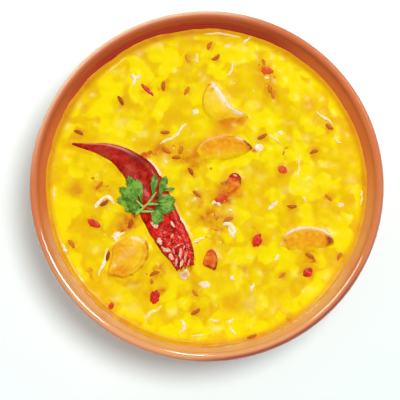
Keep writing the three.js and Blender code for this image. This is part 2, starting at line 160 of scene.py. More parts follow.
# Cumin seeds: x, y, turn in degrees, and how far each has taken on the dal's colour.
CUMIN_SIZE = (5.2, 1.7, 1.5)
CUMIN_SEEDS = [
    (-20.4, 48, 90, 0.1), (-40.9, 41, -60, 0.05), (-60.6, 25.4, -25, 0), (-19.6, 25.7, 0, 0.15),
    (4.4, 62, 35, 0.15), (-7.6, 6.9, -60, 0), (-14.3, 13.5, 0, 0.2), (-12.3, 17.2, 75, 0.4),
    (-19, 17, -30, 0.2), (26.3, 23.8, 30, 0.1), (50.9, 16.2, 15, 0.15), (58.3, 28.5, -35, 0.15),
    (40.1, -9.3, 0, 0.15), (57.3, -5.5, -45, 0.5), (62.2, -33.1, 65, 0.2), (48.2, -33.2, -30, 0.2),
    (35.3, -41.8, 40, 0.55), (-5.2, -59, 32, 0.15), (-24.3, -41.5, 22, 0.15), (-46.3, -33.1, 76, 0),
    (-63.4, -27.5, -55, 0.35), (-48.2, -7.9, 35, 0), (-50.6, 0.5, 50, 0.3), (-5.2, -50.4, -50, 0.5),
    (-4.6, -3.9, -40, 0.2), (1.8, 67.7, 60, 0.3), (-9.3, 45.9, 60, 0.45), (-8.9, 61.4, -70, 0.85),
    (29.7, 46.9, -80, 0.35), (31.4, 44, -78, 0.45), (20.9, -70.6, 20, 0.15), (10.3, -16.1, 20, 0.3),
    (-35.8, -17.6, 70, 0.05),
]

# Flakes of dried chilli: x, y, length, width, turn and how orange.
FLAKE_THICKNESS = 1.4
FLAKES = [
    (-53, -17.6, 6.6, 3.4, -25, 0.25), (-24.3, -52.2, 6.6, 4.8, 80, 0), (23.5, -26, 6.2, 4.6, 70, 0),
    (47.4, -40.7, 5, 4.4, 60, 0), (36, 7.9, 4.2, 3.8, -40, 0.6), (-28.3, 46.4, 7.6, 2, -42, 0),
    (28.8, 55.4, 5.6, 3.8, 0, 0.9), (-44.6, -56.6, 3.8, 2.6, 60, 0.45), (7.1, -5.7, 6.4, 3.2, 28, 0.4),
]

# Onion bits: x, y, length, width, turn, how browned and how far soaked.
ONION_BITS = [
    (-4.6, 61.4, 4.2, 1.9, 90, 0, 0.6), (24.7, 18.3, 4.2, 4.2, 0, 0, 0),
    (31.3, -8.9, 5.8, 2.4, 48, 0.2, 0), (-0.7, -46.3, 5.4, 3.4, -20, 0.2, 0),
    (-10.3, -41.8, 5.2, 4.6, 20, 0.8, 0), (-42, -23.6, 4.4, 3.2, 60, 0, 0),
    (12, -21.4, 6.4, 3.2, -75, 0, 0), (10, 67.3, 2.6, 2.2, 0, 0, 0.1), (28.5, 52, 2.8, 1.7, 0, 0, 0.4),
    (-5.4, 35.5, 3.2, 3, 60, 0, 0.2), (35, 25.4, 2.8, 2.4, 0, 0, 0.25),
    (63.2, -8.9, 2.8, 2.2, 0, 0, 0.2),
]
# Onion shreds: half the width, how far soaked in the dal's colour, then the points that
# they follow.
ONION_SHREDS = [
    (1, 0, [(-36.4, 53.4), (-34, 51.7), (-35.3, 47.6)]), (0.95, 0, [(-31.2, 53.1), (-33.8, 51.9)]),
    (0.7, 0.2, [(-21.8, 20.2), (-17.4, 22.4), (-14.2, 24.2), (-12.8, 26.8), (-9, 30.2)]),
    (0.6, 0.35, [(51.6, 36.7), (54.3, 33.7), (57.6, 31.5), (60.3, 29.3)]),
    (0.5, 0.3, [(60.6, 25), (61.4, 21.7), (62.5, 20.6), (64.1, 20.9)]),
    (0.6, 0.5, [(12.8, 60.5), (12.2, 56.7), (10.6, 53.9), (9.5, 52.3)]),
    (0.6, 0.05, [(17.7, 68.6), (19.3, 70.3), (21, 71.6)]),
    (0.5, 0.45, [(44.5, 15.7), (43.5, 10), (42.8, 2.6)]),
    (0.6, 0.4, [(29.2, 24.7), (32, 22.8), (35.2, 20.6)]),
    (0.9, 0.05, [(-52.5, -10.5), (-51.1, -8), (-48.9, -5.9), (-46, -5.4), (-43, -8.3)]),
    (0.7, 0.05, [(-43.8, -22.4), (-41.6, -22.8), (-38.2, -21.9)]),
    (0.6, 0.05, [(-41.4, -23), (-42.6, -26.6)]),
    (0.6, 0.2, [(-45.7, -28.8), (-46.9, -31.5), (-47.9, -36.4), (-50, -40.2), (-50.6, -42.4)]),
    (0.5, 0.5, [(-60.4, -38.3), (-59.3, -42.4), (-57.1, -45.7)]),
    (0.7, 0.05, [(-67.5, -27.2), (-65.4, -31.5)]),
    (0.7, 0.4, [(-20.6, -56.1), (-22.7, -58), (-26, -59.4), (-27.7, -61.6), (-28.5, -65.4)]),
    (0.8, 0.05, [(-11.8, -62.7), (-10.2, -66), (-12.9, -69.3)]),
    (0.5, 0.4, [(-7.5, -70.4), (-4, -70.2), (-0.9, -70)]), (0.7, 0.25, [(1.3, -62.9), (5.7, -63.7)]),
    (0.6, 0.05, [(12.8, -62.4), (9.5, -64.3)]), (0.6, 0.05, [(10.6, -66), (11.7, -68), (13.9, -69.6)]),
    (1.3, 0.05, [(7.6, -18.4), (10.3, -18), (12.6, -20.3), (13.1, -24.5)]),
    (0.9, 0.05, [(11.1, -42.4), (12.8, -44.4)]), (0.8, 0.05, [(22.2, -45.8), (20.5, -49.9)]),
    (0.5, 0.05, [(45.5, -4.8), (46.7, -7.5)]), (0.6, 0.05, [(31.9, -35.4), (34, -32)]),
    (0.6, 0.05, [(-6.4, -26.9), (-3.4, -25.3), (-0.4, -24.2)]),
    (0.4, 0.4, [(-23.3, -36.4), (-22.2, -38.1)]),
    (0.9, 0, [(-28.3, 12.9), (-26, 11.2), (-24, 8.8), (-22.5, 6.2), (-21.6, 3.6)]),
    (0.75, 0.3, [(-13, -13), (-10.6, -17.4), (-8.4, -21.4), (-6.4, -24.4)]),
    (0.85, 0.05, [(2, -8.3), (4.4, -7.5), (6.9, -9.5)]),
    (0.45, 0.75, [(-50.4, 51), (-44.2, 57), (-37.6, 62)]),
    (0.5, 0.45, [(-1.3, 73.2), (8, 73), (17.4, 71.2)]),
    (0.5, 0.45, [(-71.4, 0), (-71.6, -4), (-71.2, -7.6)]),
    (0.5, 0.4, [(72.6, -1.6), (72.9, -5.4), (72.2, -9.2)]),
]

# Where crumbs gather: x, y, spread and how many.
SPICE_CRUMB_SIZE = (1.8, 3.8)
SPICE_CLUSTERS = [
    (-19.2, 16.9, 2.2, 3), (-11.6, 16.9, 2.6, 3), (-28.4, 14.6, 0.9, 4), (5.4, -3.6, 2.6, 4),
    (4, -11.6, 3.2, 4), (-0.8, -17.2, 3.6, 4), (-37.3, -19.2, 2.2, 5), (28.8, 55.9, 2, 7),
    (-48.2, -0.2, 2.6, 3), (-21.6, -41.6, 2.4, 3), (48.2, -34.4, 2, 3), (-6.4, 10.8, 3, 2),
    (37.4, 15.5, 2.6, 2), (4.7, -19.9, 1.4, 3), (-54.9, -41.1, 1.2, 2), (0, 0, 34, 4),
]
ONION_CRUMB_SIZE = (0.7, 2.2)
ONION_CLUSTERS = [
    (6, -14, 6, 6), (-14, 16, 6, 3), (28, 54, 4, 3), (-42, -24, 6, 4), (0, -62, 9, 6), (46, -34, 8, 3),
    (0, 0, 38, 5), (-5.7, -6.5, 0.7, 4), (11.6, -11.6, 0.9, 4), (-19.8, 12.2, 0.7, 3),
    (-1.6, -0.6, 1.6, 3),
]
CRUMB_GAP = 0.7  # how clear crumbs stay of the larger toppings

# Oily amber patches of the dal: x, y, radius and strength.
AMBER_PATCHES = [
    (9.5, 29, 6.5, 1), (6, 24, 5.5, 0.8), (15.5, 31.6, 4, 0.9), (12, 1, 6, 0.8), (7.6, -3.6, 4.5, 1),
    (-21, 16, 6.5, 0.6), (-5, 15.6, 4.5, 0.9), (-39, -19, 6, 0.7), (-62, -0.8, 4, 0.8),
    (48.6, 39.5, 4.6, 0.65), (26, 51, 4.5, 0.6), (11, -54.5, 5.5, 0.5), (6, -44, 6.5, 0.4),
    (35, -49.5, 6.5, 0.35), (46, -32, 6, 0.5), (3, -34, 6.5, 0.6), (7.5, -15, 7, 0.45),
    (-28, 2, 12, 0.3), (-18, -36, 7, 0.5), (0, -5, 8, 0.4), (60, -36, 5, 0.4), (0, 47, 5, 0.3),
    (-45, -4, 6, 0.4), (-36.5, -38, 10, 0.45), (-47, -46, 9, 0.4), (-30, -54, 8, 0.3),
    (-56, -24, 9, 0.3), (-52, 12, 9, 0.25), (57, -14, 8, 0.25),
]

# Smears of spice oil: half the width, strength, then the points that they follow.
RUST_SMEARS = [
    (1.3, 1, [(-29.8, 14.6), (-27.3, 14.3), (-23.6, 16.4), (-20.3, 19.1)]),
    (1.5, 1.2, [(-34.2, -14), (-35.9, -17.8), (-39.3, -21.1)]),
    (2.2, 0.6, [(9, -3.6), (4.2, -8.6), (0.6, -14.6)]),
    (1.8, 0.6, [(-2.6, -15.2), (1, -17.6), (7, -20)]),
    (2, 0.5, [(-20, 16.6), (-14.6, 15.4), (-9, 13), (-5, 9.6)]),
    (2.6, 0.4, [(24.6, 56), (31, 53.6), (30, 46)]), (2, 0.4, [(-38, -16), (-41, -13)]),
    (1.2, 0.4, [(22, -20), (24.6, -22.4)]), (1.2, 0.4, [(14.6, -38.2), (17.4, -39.4)]),
    (1.2, 0.6, [(-56, -40.2), (-53.6, -42.2)]), (1.1, 0.6, [(-23.4, -49), (-19.6, -49.8)]),
    (1.2, 0.5, [(36.4, -62.4), (39, -62)]), (0.8, 0.5, [(-1.2, 14.4), (-0.9, 11.2)]),
    (1.5, 0.4, [(-44.6, -42.6), (-38.4, -46.4), (-31, -44.6)]), (1, 0.9, [(21.4, 18.2), (23.4, 16.4)]),
    (2.6, 1.1, [(12, -2.8), (9.5, -4.4), (7, -6)]), (1.6, 0.5, [(-6, 14), (-4, 17.6), (-1, 20.6)]),
    (1.6, 0.5, [(8, 30.6), (13, 31), (18, 32.6)]),
    (1.2, 0.5, [(-20.8, -36.6), (-24.4, -40), (-21, -43)]), (1.1, 0.4, [(-32, -24), (-28.6, -27)]),
    (1.3, 0.45, [(-46, -1.8), (-50, -2.4), (-52.6, 1.6)]), (1.2, 0.45, [(4, -24), (7.6, -27)]),
]
# Single drops of it: x, y, radius and strength.
RUST_SPOTS = [
    (-4.8, -4.6, 2.6, 0.7), (-1.3, -15.4, 1.7, 0.8), (4.7, -20.6, 2.6, 0.75), (2.9, -10.7, 2.4, 0.5),
    (8.3, -1.7, 3, 0.7), (10.6, -7.9, 2, 0.6), (-22.5, 17.2, 2.2, 0.7), (-18.4, 16.7, 1.8, 0.8),
    (-29.8, 14.9, 1.1, 1.3), (-27.3, 15.3, 0.9, 1.3), (-1.6, 17, 2.4, 0.6), (-1.6, 11.8, 1.6, 0.5),
    (-12.4, 19.4, 1.6, 0.6), (-7, 12, 2, 0.4), (29.6, 52.6, 2, 0.6), (27, 57.4, 1.6, 0.6),
    (-40.2, -18.6, 1.6, 0.6), (-33.8, -15.6, 1.4, 0.6), (-20.6, -40, 1.6, 0.5), (-27, -50.4, 1.8, 0.5),
    (2.6, -26, 1.6, 0.5), (-49.6, -19.6, 2.4, 0.5), (50.6, -36, 1.8, 0.5), (-60.6, -2.2, 2.4, 0.35),
    (-37.4, -16.4, 3.6, 0.55), (-33.4, -12.4, 2.4, 0.5), (-41.2, -20, 2.6, 0.45), (38, 12.6, 1.8, 0.35),
    (15.6, -4, 2, 0.4), (-3.2, -9.4, 1.8, 0.4), (6.4, -13.8, 1.8, 0.45),
]
SEED_HALO = (2.9, 0.5)  # how far a seed's oil spreads, and its strength
FLAKE_HALO = (3.6, 0.5)

# Soft pale places of the dal, partly painted highlights: x, y, length, width, turn in degrees and
# strength.
PALE_BLOBS = [
    (-32.1, 64.6, 2.6, 1.8, 20, 0.7), (-23.6, 69, 2.4, 1.6, 10, 0.7), (-7.8, 72.4, 2.6, 1.2, 0, 0.7),
    (-60.7, 39.7, 2.2, 1.6, 60, 0.7), (-66.1, 28.7, 2.2, 1.6, 70, 0.7), (47.2, 23.2, 2.4, 1.8, 0, 0.6),
    (67.9, 2.8, 2, 2.4, 0, 0.6), (47.2, 1.3, 2.4, 1.8, 30, 0.6), (55.7, 10.2, 3.6, 1.1, 0, 0.7),
    (37.7, -1.6, 2.8, 1.6, 0, 0.6), (25.8, 4.3, 2, 1.6, 0, 0.5), (-42.1, -52.6, 2.2, 1.8, 0, 0.6),
    (-16.2, -59.4, 2.2, 1.8, 0, 0.6), (20.2, -54.8, 3.6, 2.8, 70, 0.7),
    (47.9, -49.2, 2.4, 1.8, 40, 0.6), (41.5, -42, 2.2, 1.6, 20, 0.6), (-5.7, -6.5, 1.9, 1.1, 10, 0.9),
    (11.2, -7.1, 1.8, 1.4, 0, 0.7), (12, -12.7, 1.5, 2.1, 0, 0.8), (-19.8, 12.2, 1.2, 2.2, 0, 0.8),
    (4.3, -67, 2.2, 1.8, 0, 0.9), (-34, -47, 2.4, 1.8, 0, 0.4), (-34.5, -57.3, 3, 2.2, 0, 0.4),
    (-40, 30, 3, 2, 40, 0.4), (20, 8, 2.6, 2, 0, 0.4), (58, -22, 2.4, 1.6, -30, 0.5),
    (31, -58, 3, 1.6, 30, 0.5), (13.2, -38, 3.2, 0.6, 80, 0.6), (16.8, -41.5, 3.4, 0.7, 75, 0.6),
    (14.8, -47, 2.6, 0.7, 85, 0.5), (-9, -27.6, 1.6, 1, 20, 0.6), (18, 66, 2.6, 1.4, -20, 0.5),
    (-52, -30, 2, 1.4, 0, 0.5),
]


# ---- Curves ----

def lerp(a, b, share):
    return a + (b - a) * share


def smooth(share):
    share = np.clip(share, 0.0, 1.0)
    return share * share * (3 - 2 * share)


def fade(distance, reach):
    """1 up to a distance of 0, then softly down to 0 at this reach."""
    return 1 - smooth(distance / reach)


def shares(steps):
    """Even shares from 0 to 1."""
    return [k / steps for k in range(steps + 1)]


def bezier(corners, share):
    a, b, c, d = (Vector(corner) for corner in corners)
    rest = 1 - share
    return a * rest ** 3 + 3 * b * rest ** 2 * share + 3 * c * rest * share ** 2 + d * share ** 3


def spline_point(points, share, closed=False):
    """A point of the Catmull-Rom curve through the points, at a share of its length."""
    count = len(points)
    spans = count if closed else count - 1
    place = min(share * spans, spans - 1e-9)
    first = int(place)
    part = place - first

    def corner(k):
        if closed:
            return Vector(points[(first + k) % count])
        index = first + k
        if index < 0:
            return 2 * Vector(points[0]) - Vector(points[1])
        if index >= count:
            return 2 * Vector(points[-1]) - Vector(points[-2])
        return Vector(points[index])

    a, b, c, d = (corner(k) for k in (-1, 0, 1, 2))
    bend = 2 * a - 5 * b + 4 * c - d
    twist = 3 * b - a - 3 * c + d
    return 0.5 * (2 * b + (c - a) * part + bend * part ** 2 + twist * part ** 3)


def sample_line(points, steps):
    """Evenly spread points of the curve through points in the plane."""
    line = [(*point, 0) for point in points]
    return [spline_point(line, share) for share in shares(steps)]


def spline_frame(points, share):
    """A point of an open curve, and its direction in the plane."""
    step = 0.002
    before = spline_point(points, max(share - step, 0.0))
    after = spline_point(points, min(share + step, 1.0))
    return spline_point(points, share), (after - before).to_2d().normalized()


# ---- The dal's surface as a height map ----

MAP_CELL = 0.3
MAP_HALF = 77.0
ticks = np.arange(-MAP_HALF, MAP_HALF + MAP_CELL, MAP_CELL)
map_x, map_y = np.meshgrid(ticks, ticks, indexing="ij")

LENTIL_PITCH = 4.0
LENTIL_HALF_LENGTH = (1.6, 3.6)
MASH_PITCH = 6.4  # lentils that have cooked together into larger patches
MASH_HALF_LENGTH = (3.0, 6.6)
LENTIL_SLIMNESS = (0.55, 0.9)
LENTIL_RISE = (0.0, 0.55)
LENTIL_SINK = 1.6  # above 1, more of the lentils lie deep than high
LENTIL_SOFTNESS = 16  # rounds of smoothing, as they are cooked soft
LENTIL_FULLNESS = 0.6  # below 1, a lentil is fuller towards its outline
WARP = 2.2  # how far outlines wander
SAUCE_LENGTH = 14.0  # slow pools of smooth sauce
POCKET_DEPTH = 2.6  # how far the dal is pressed down under a topping
CREAM_SPOTS = 190  # burst lentils and painted highlights, shown as pale spots
CREAM_RADIUS = (0.6, 1.7)
CREAM_SLIMNESS = (0.45, 1.0)
CREAM_STRENGTH = 0.9
CREAM_RIGHT_SHARE = 0.55  # they are fainter on the right
RUST_STRENGTH = (0.6, 1.6)  # least and most of the listed strength
TOPPING_REACH = 6.0  # how far past a topping its gap is worked out
CHILLI_GAP_STEPS = 120
SLICE_SPAN = 14.0  # no slice reaches further than this from its middle
OUTLINE_SAMPLES = 90
FAR = 99.0
CHILLI_CLIMB = 0.6  # how far the dal is drawn up beside the chilli
SLICE_CLIMB = 0.75  # how far it covers the edges of the soft slices
STREAK_MIDDLE = (6.0, -50.0)  # where the amber streaks at the front spread from
STREAK_REACH = 16.0
SWELL_TURN = 0.7
LUMP_SOFTNESS = 6
LUMP_SHARE = 0.55  # how much of the large lumps shows
GRIT = (0.26, 0.04)  # height of the coarse and the fine unevenness
CALM_BY_CHILLI = (2.5, 0.8)  # how far from the chilli the dal is calmer, and how much
SLICE_OVERLAP = (1.6, 1.2, 3.2)  # dal over a slice's edge: mean, wander and softness
MASH_WEIGHTS = (0.5, 0.3, 0.2)  # lentil patches, large clouds and small clouds
MASH_FLOOR = 0.26
PALE_WEIGHTS = (0.3, 0.75)  # single lentils and mashed patches
EDGE_AMBER = 0.7
HOLLOW_AMBER = 0.3
CHILLI_PAINTED_SHADE = (0.35, 7.0)  # painted shade beside the chilli: strength and reach
STREAK_AMBER = 0.45


def chance(i, j, salt):
    """A share of its own for every cell, which looks random and never changes."""
    wave = np.sin(i * 12.9898 + j * 78.233 + salt * 37.719) * 43758.5453
    return wave - np.floor(wave)


def lump_map():
    """The large soft lumps, as in the solid."""
    column = np.floor(map_x / LUMP_SPACING)
    row = np.floor(map_y / LUMP_SPACING)
    height = np.zeros_like(map_x)
    for across in (-1, 0, 1):
        for along in (-1, 0, 1):
            i, j = column + across, row + along
            x = (i + 0.5 + LUMP_JITTER * (chance(i, j, 1) - 0.5)) * LUMP_SPACING
            y = (j + 0.5 + LUMP_JITTER * (chance(i, j, 2) - 0.5)) * LUMP_SPACING
            radius = LUMP_SPACING * lerp(*LUMP_RADIUS, chance(i, j, 3))
            top = LUMP_HEIGHT * lerp(LUMP_LEAST, 1, chance(i, j, 4))
            share = np.hypot(map_x - x, map_y - y) / radius
            height = np.maximum(height, top * (1 - smooth(share)))
    return height


def cloud_map(size, salt):
    """Soft random hills of this size, or of two sizes along x and y, from 0 to 1."""
    size_x, size_y = size if isinstance(size, tuple) else (size, size)
    u, v = map_x / size_x, map_y / size_y
    i, j = np.floor(u), np.floor(v)
    across, along = smooth(u - i), smooth(v - j)
    near = lerp(chance(i, j, salt), chance(i + 1, j, salt), across)
    far = lerp(chance(i, j + 1, salt), chance(i + 1, j + 1, salt), across)
    return lerp(near, far, along)


def window(x, y, reach):
    """The part of the map within reach of a point."""
    first = [max(int((value - reach + MAP_HALF) / MAP_CELL), 0) for value in (x, y)]
    last = [int((value + reach + MAP_HALF) / MAP_CELL) + 2 for value in (x, y)]
    return slice(first[0], last[0]), slice(first[1], last[1])


def blur(values, times):
    for _ in range(times):
        for axis in (0, 1):
            values = (np.roll(values, 1, axis) + 2 * values + np.roll(values, -1, axis)) / 4
    return values


warped_x = map_x + WARP * (cloud_map(2.4, 11) - 0.5)
warped_y = map_y + WARP * (cloud_map(2.4, 12) - 0.5)


def oval(place, x, y, length, width, turn):
    """How far out the places lie in an oval with wandering edges, 1 on its outline."""
    dx, dy = warped_x[place] - x, warped_y[place] - y
    along = (dx * math.cos(turn) + dy * math.sin(turn)) / length
    across = (dy * math.cos(turn) - dx * math.sin(turn)) / width
    return np.hypot(along, across)


def lentil_maps(pitch, half_lengths, seed):
    """Split lentils near the surface: how high each rises, and a tone of its own."""
    draw = random.Random(seed)
    rise = np.zeros_like(map_x)
    tone = np.zeros_like(map_x)
    cells = int(MAP_HALF / pitch) + 1
    for i in range(-cells, cells):
        for j in range(-cells, cells):
            x = (i + draw.uniform(0.0, 1.0)) * pitch
            y = (j + draw.uniform(0.0, 1.0)) * pitch
            half_length = draw.uniform(*half_lengths)
            half_width = half_length * draw.uniform(*LENTIL_SLIMNESS)
            turn = draw.uniform(0, math.pi)
            top = lerp(*LENTIL_RISE, draw.random() ** LENTIL_SINK)
            own_tone = draw.random()
            place = window(x, y, half_length + WARP)
            out = oval(place, x, y, half_length, half_width, turn)
            dome = top * np.clip(1 - out ** 2, 0, 1) ** LENTIL_FULLNESS
            higher = dome > rise[place]
            rise[place] = np.where(higher, dome, rise[place])
            tone[place] = np.where(higher, own_tone, tone[place])
    return rise, tone


def add_blob(values, x, y, length, width, turn, strength):
    """Raise a map to a soft oval blob with wandering edges."""
    place = window(x, y, 3 * max(length, width) + WARP)
    blob = strength * np.exp(-oval(place, x, y, length, width, turn) ** 2)
    values[place] = np.maximum(values[place], blob)


def cream_spot_map():
    """Pale spots, partly burst lentils and partly painted highlights, and the listed pale places."""
    draw = random.Random(41)
    cream = np.zeros_like(map_x)
    for _ in range(CREAM_SPOTS):
        distance = DAL_EDGE_RADIUS * draw.random() ** 0.5
        angle = draw.uniform(0, 2 * math.pi)
        x, y = distance * math.cos(angle), distance * math.sin(angle)
        length = draw.uniform(*CREAM_RADIUS)
        width = length * draw.uniform(*CREAM_SLIMNESS)
        turn = draw.uniform(0, math.pi)
        add_blob(cream, x, y, length, width, turn, CREAM_STRENGTH * draw.random() ** 2)
    for x, y, length, width, degrees, strength in PALE_BLOBS:
        add_blob(cream, x, y, length, width, math.radians(degrees), strength)
    return cream


def rust_map():
    """Orange spice oil round the seeds and flakes, and its smears and drops."""
    rust = np.zeros_like(map_x)
    spots = [(x, y, *SEED_HALO) for x, y, _, _ in CUMIN_SEEDS]
    spots += [(x, y, *FLAKE_HALO) for x, y, *_ in FLAKES]
    spots += RUST_SPOTS
    for reach, strength, points in RUST_SMEARS:
        spots += [(*point.to_2d(), reach, strength) for point in sample_line(points, 16)]
    for x, y, reach, strength in spots:
        add_blob(rust, x, y, reach, reach, 0.0, strength)
    return rust * lerp(*RUST_STRENGTH, cloud_map(1.8, 51))


def slice_reach(outline):
    """A function that gives the radius of a slice's outline at any angle."""
    rim = [spline_point(outline, share, closed=True) for share in shares(OUTLINE_SAMPLES)[:-1]]
    angles = np.array([math.atan2(point.y, point.x) for point in rim])
    radii = np.array([point.length for point in rim])
    order = np.argsort(angles)
    return lambda angle: np.interp(angle, angles[order], radii[order], period=2 * math.pi)


def gap_from(gap, x, y, reach, edge):
    """Lower a map of distances to the distance from an outline round a point."""
    place = window(x, y, reach + TOPPING_REACH)
    dx, dy = map_x[place] - x, map_y[place] - y
    gap[place] = np.minimum(gap[place], np.hypot(dx, dy) - edge(dx, dy))


def chilli_gap_map():
    """Distance to the chilli, below 0 under it."""
    gap = np.full_like(map_x, FAR)
    for share in shares(CHILLI_GAP_STEPS):
        station = spline_point(CHILLI_STATIONS, share)
        gap_from(gap, station.x, station.y, station.z, lambda dx, dy: station.z)
    return gap


def slice_gap_map():
    """Distance to the nearest slice, below 0 under it."""
    gap = np.full_like(map_x, FAR)
    for (x, y), outline, *_ in SLICES.values():
        radius_at = slice_reach(outline)
        gap_from(gap, x, y, SLICE_SPAN, lambda dx, dy: radius_at(np.arctan2(dy, dx)))
    return gap


def glow(x, y, reach):
    """1 at a point of the map, fading out round it."""
    return np.exp(-((map_x - x) ** 2 + (map_y - y) ** 2) / reach ** 2)


def relief_maps():
    """Height of the soft lentils, and how far they are mashed and how pale they are."""
    rise, tone = lentil_maps(LENTIL_PITCH, LENTIL_HALF_LENGTH, 23)
    _, mash_tone = lentil_maps(MASH_PITCH, MASH_HALF_LENGTH, 29)
    pools = 0.5 + 0.5 * np.sin(map_x / SAUCE_LENGTH + 1.3 * np.sin(map_y / SAUCE_LENGTH + 2.0))
    rise = rise * lerp(0.5, 1.0, pools)
    lumps = blur(lump_map(), LUMP_SOFTNESS) / LUMP_HEIGHT
    coarse, fine = GRIT
    grit = coarse * (cloud_map(3.4, 21) - 0.5) + fine * (cloud_map(1.5, 22) - 0.5)
    relief = LUMP_SHARE * lumps + blur(rise, LENTIL_SOFTNESS) + grit
    large = cloud_map(11.0, 35) * 0.6 + cloud_map(6.5, 31) * 0.4
    patches = (blur(mash_tone, 6), large, cloud_map(2.8, 33))
    mash = sum(weight * patch for weight, patch in zip(MASH_WEIGHTS, patches))
    single, mashed = PALE_WEIGHTS
    paleness = single * blur(smooth(rise / 0.4) * lerp(0.1, 1.0, tone), 5)
    paleness = paleness + mashed * smooth((mash - MASH_FLOOR) / 0.36)
    return relief, mash, paleness


def amber_tint(relief, mash, edge, chilli_gap):
    """Oily amber at the wall, in hollows, in streaks and patches; painted shade round the chilli."""
    streaks = smooth((cloud_map((2.2, 8.0), 34) - 0.5) / 0.4)
    strength, reach = CHILLI_PAINTED_SHADE
    amber = EDGE_AMBER * edge ** 2 + HOLLOW_AMBER * fade(relief, 0.45) * fade(mash - MASH_FLOOR, 0.3)
    # Painted shade: darker amber beside the chilli.
    amber += strength * fade(chilli_gap, reach) * cloud_map(3.2, 36)
    amber += STREAK_AMBER * streaks * glow(*STREAK_MIDDLE, STREAK_REACH)
    for x, y, reach, strength in AMBER_PATCHES:
        amber = np.maximum(amber, strength * glow(x, y, reach))
    return amber


def make_dal_maps():
    """The dal's height, its pale, amber, cream and rust tints, and the toppings' gap."""
    radius = np.hypot(map_x, map_y)
    edge = smooth(1 + (radius - DAL_EDGE_RADIUS) / MENISCUS_WIDTH)
    film = smooth(1 + (radius - DAL_EDGE_RADIUS) / FILM_WIDTH)
    chilli_gap, slice_gap = chilli_gap_map(), slice_gap_map()
    relief, mash, paleness = relief_maps()
    calm_reach, calm_share = CALM_BY_CHILLI
    calm = (1 - edge) * (1 - calm_share * fade(chilli_gap, calm_reach))
    mean, wander, softness = SLICE_OVERLAP
    cover = fade(slice_gap + mean - wander * cloud_map(4.0, 41), softness)
    climb = CHILLI_CLIMB * fade(chilli_gap, 2.0) + SLICE_CLIMB * cover * lerp(0.3, 1.0, cloud_map(3.0, 42))
    pocket = np.maximum(smooth((-chilli_gap - 0.5) / 2.0), smooth((-slice_gap - 2.2) / 2.0))
    swell = SWELL_HEIGHT * np.sin(map_x / SWELL_LENGTH + SWELL_TURN) * np.cos(map_y / SWELL_LENGTH)
    height = DAL_LEVEL + swell + relief * calm + MENISCUS_RISE * edge ** 2 + climb
    height += FILM_RISE * film ** 2 - POCKET_DEPTH * pocket
    amber = amber_tint(relief, mash, edge, chilli_gap)
    to_right = lerp(1.0, CREAM_RIGHT_SHARE, smooth((map_x + 10) / 40))
    cream = cream_spot_map() * (1 - edge) * (1 - 0.6 * amber) * to_right
    return height, paleness * (1 - edge), amber, cream, rust_map(), np.minimum(chilli_gap, slice_gap)


height_map, pale_map, amber_map, cream_map, rust_stain_map, gap_map = make_dal_maps()


def read_map(values, x, y):
    u = (x + MAP_HALF) / MAP_CELL
    v = (y + MAP_HALF) / MAP_CELL
    i, j = int(u), int(v)
    near = lerp(values[i, j], values[i + 1, j], u - i)
    far = lerp(values[i, j + 1], values[i + 1, j + 1], u - i)
    return float(lerp(near, far, v - j))


def dal_top(x, y):
    return read_map(height_map, x, y)


WALL_SAMPLES = 200
inner_curve = [bezier(INNER_WALL, share) for share in shares(WALL_SAMPLES)]
inner_levels = [point.y for point in inner_curve]
inner_radii = [point.x for point in inner_curve]


def wall_share(level):
    """How far along the inner wall's curve it reaches a level."""
    return float(np.interp(level, inner_levels, np.linspace(0.0, 1.0, len(inner_levels))))


def wall_radius(level):
    return float(np.interp(level, inner_levels, inner_radii))


# ---- Materials ----

def colour(red, green, blue):
    """A display colour, 0 to 255, as linear light with alpha."""
    def linear(value):
        value /= 255
        return value / 12.92 if value <= 0.04045 else ((value + 0.055) / 1.055) ** 2.4
    return (linear(red), linear(green), linear(blue), 1.0)


class Wire:
    """An output of a node; arithmetic on it adds Math nodes."""

    def __init__(self, look, socket):
        self.look = look
        self.socket = socket

    def math(self, operation, *values):
        inputs = dict(enumerate((self, *values)))
        return self.look.node("ShaderNodeMath", {"operation": operation}, inputs)

    def __rsub__(self, other):
        return (self * -1.0) + other

    def ramp(self, low, high):
        """0 below low, 1 above high, smooth between."""
        settings = {"interpolation_type": "SMOOTHSTEP"}
        return self.look.node("ShaderNodeMapRange", settings, {0: self, 1: low, 2: high})

    def span(self, low, high):
        """The same between two places in millimetres."""
        return self.ramp(low * MM, high * MM)

    def hill(self, foot, top, end, far_foot):
        """0 below foot, 1 from top to end, and 0 again above far_foot."""
        return self.ramp(foot, top) * (1 - self.ramp(end, far_foot))


def operator(operation):
    return lambda wire, other: wire.math(operation, other)


Wire.__add__ = Wire.__radd__ = operator("ADD")
Wire.__sub__ = operator("SUBTRACT")
Wire.__mul__ = Wire.__rmul__ = operator("MULTIPLY")
Wire.__truediv__ = operator("DIVIDE")
Wire.__pow__ = operator("POWER")


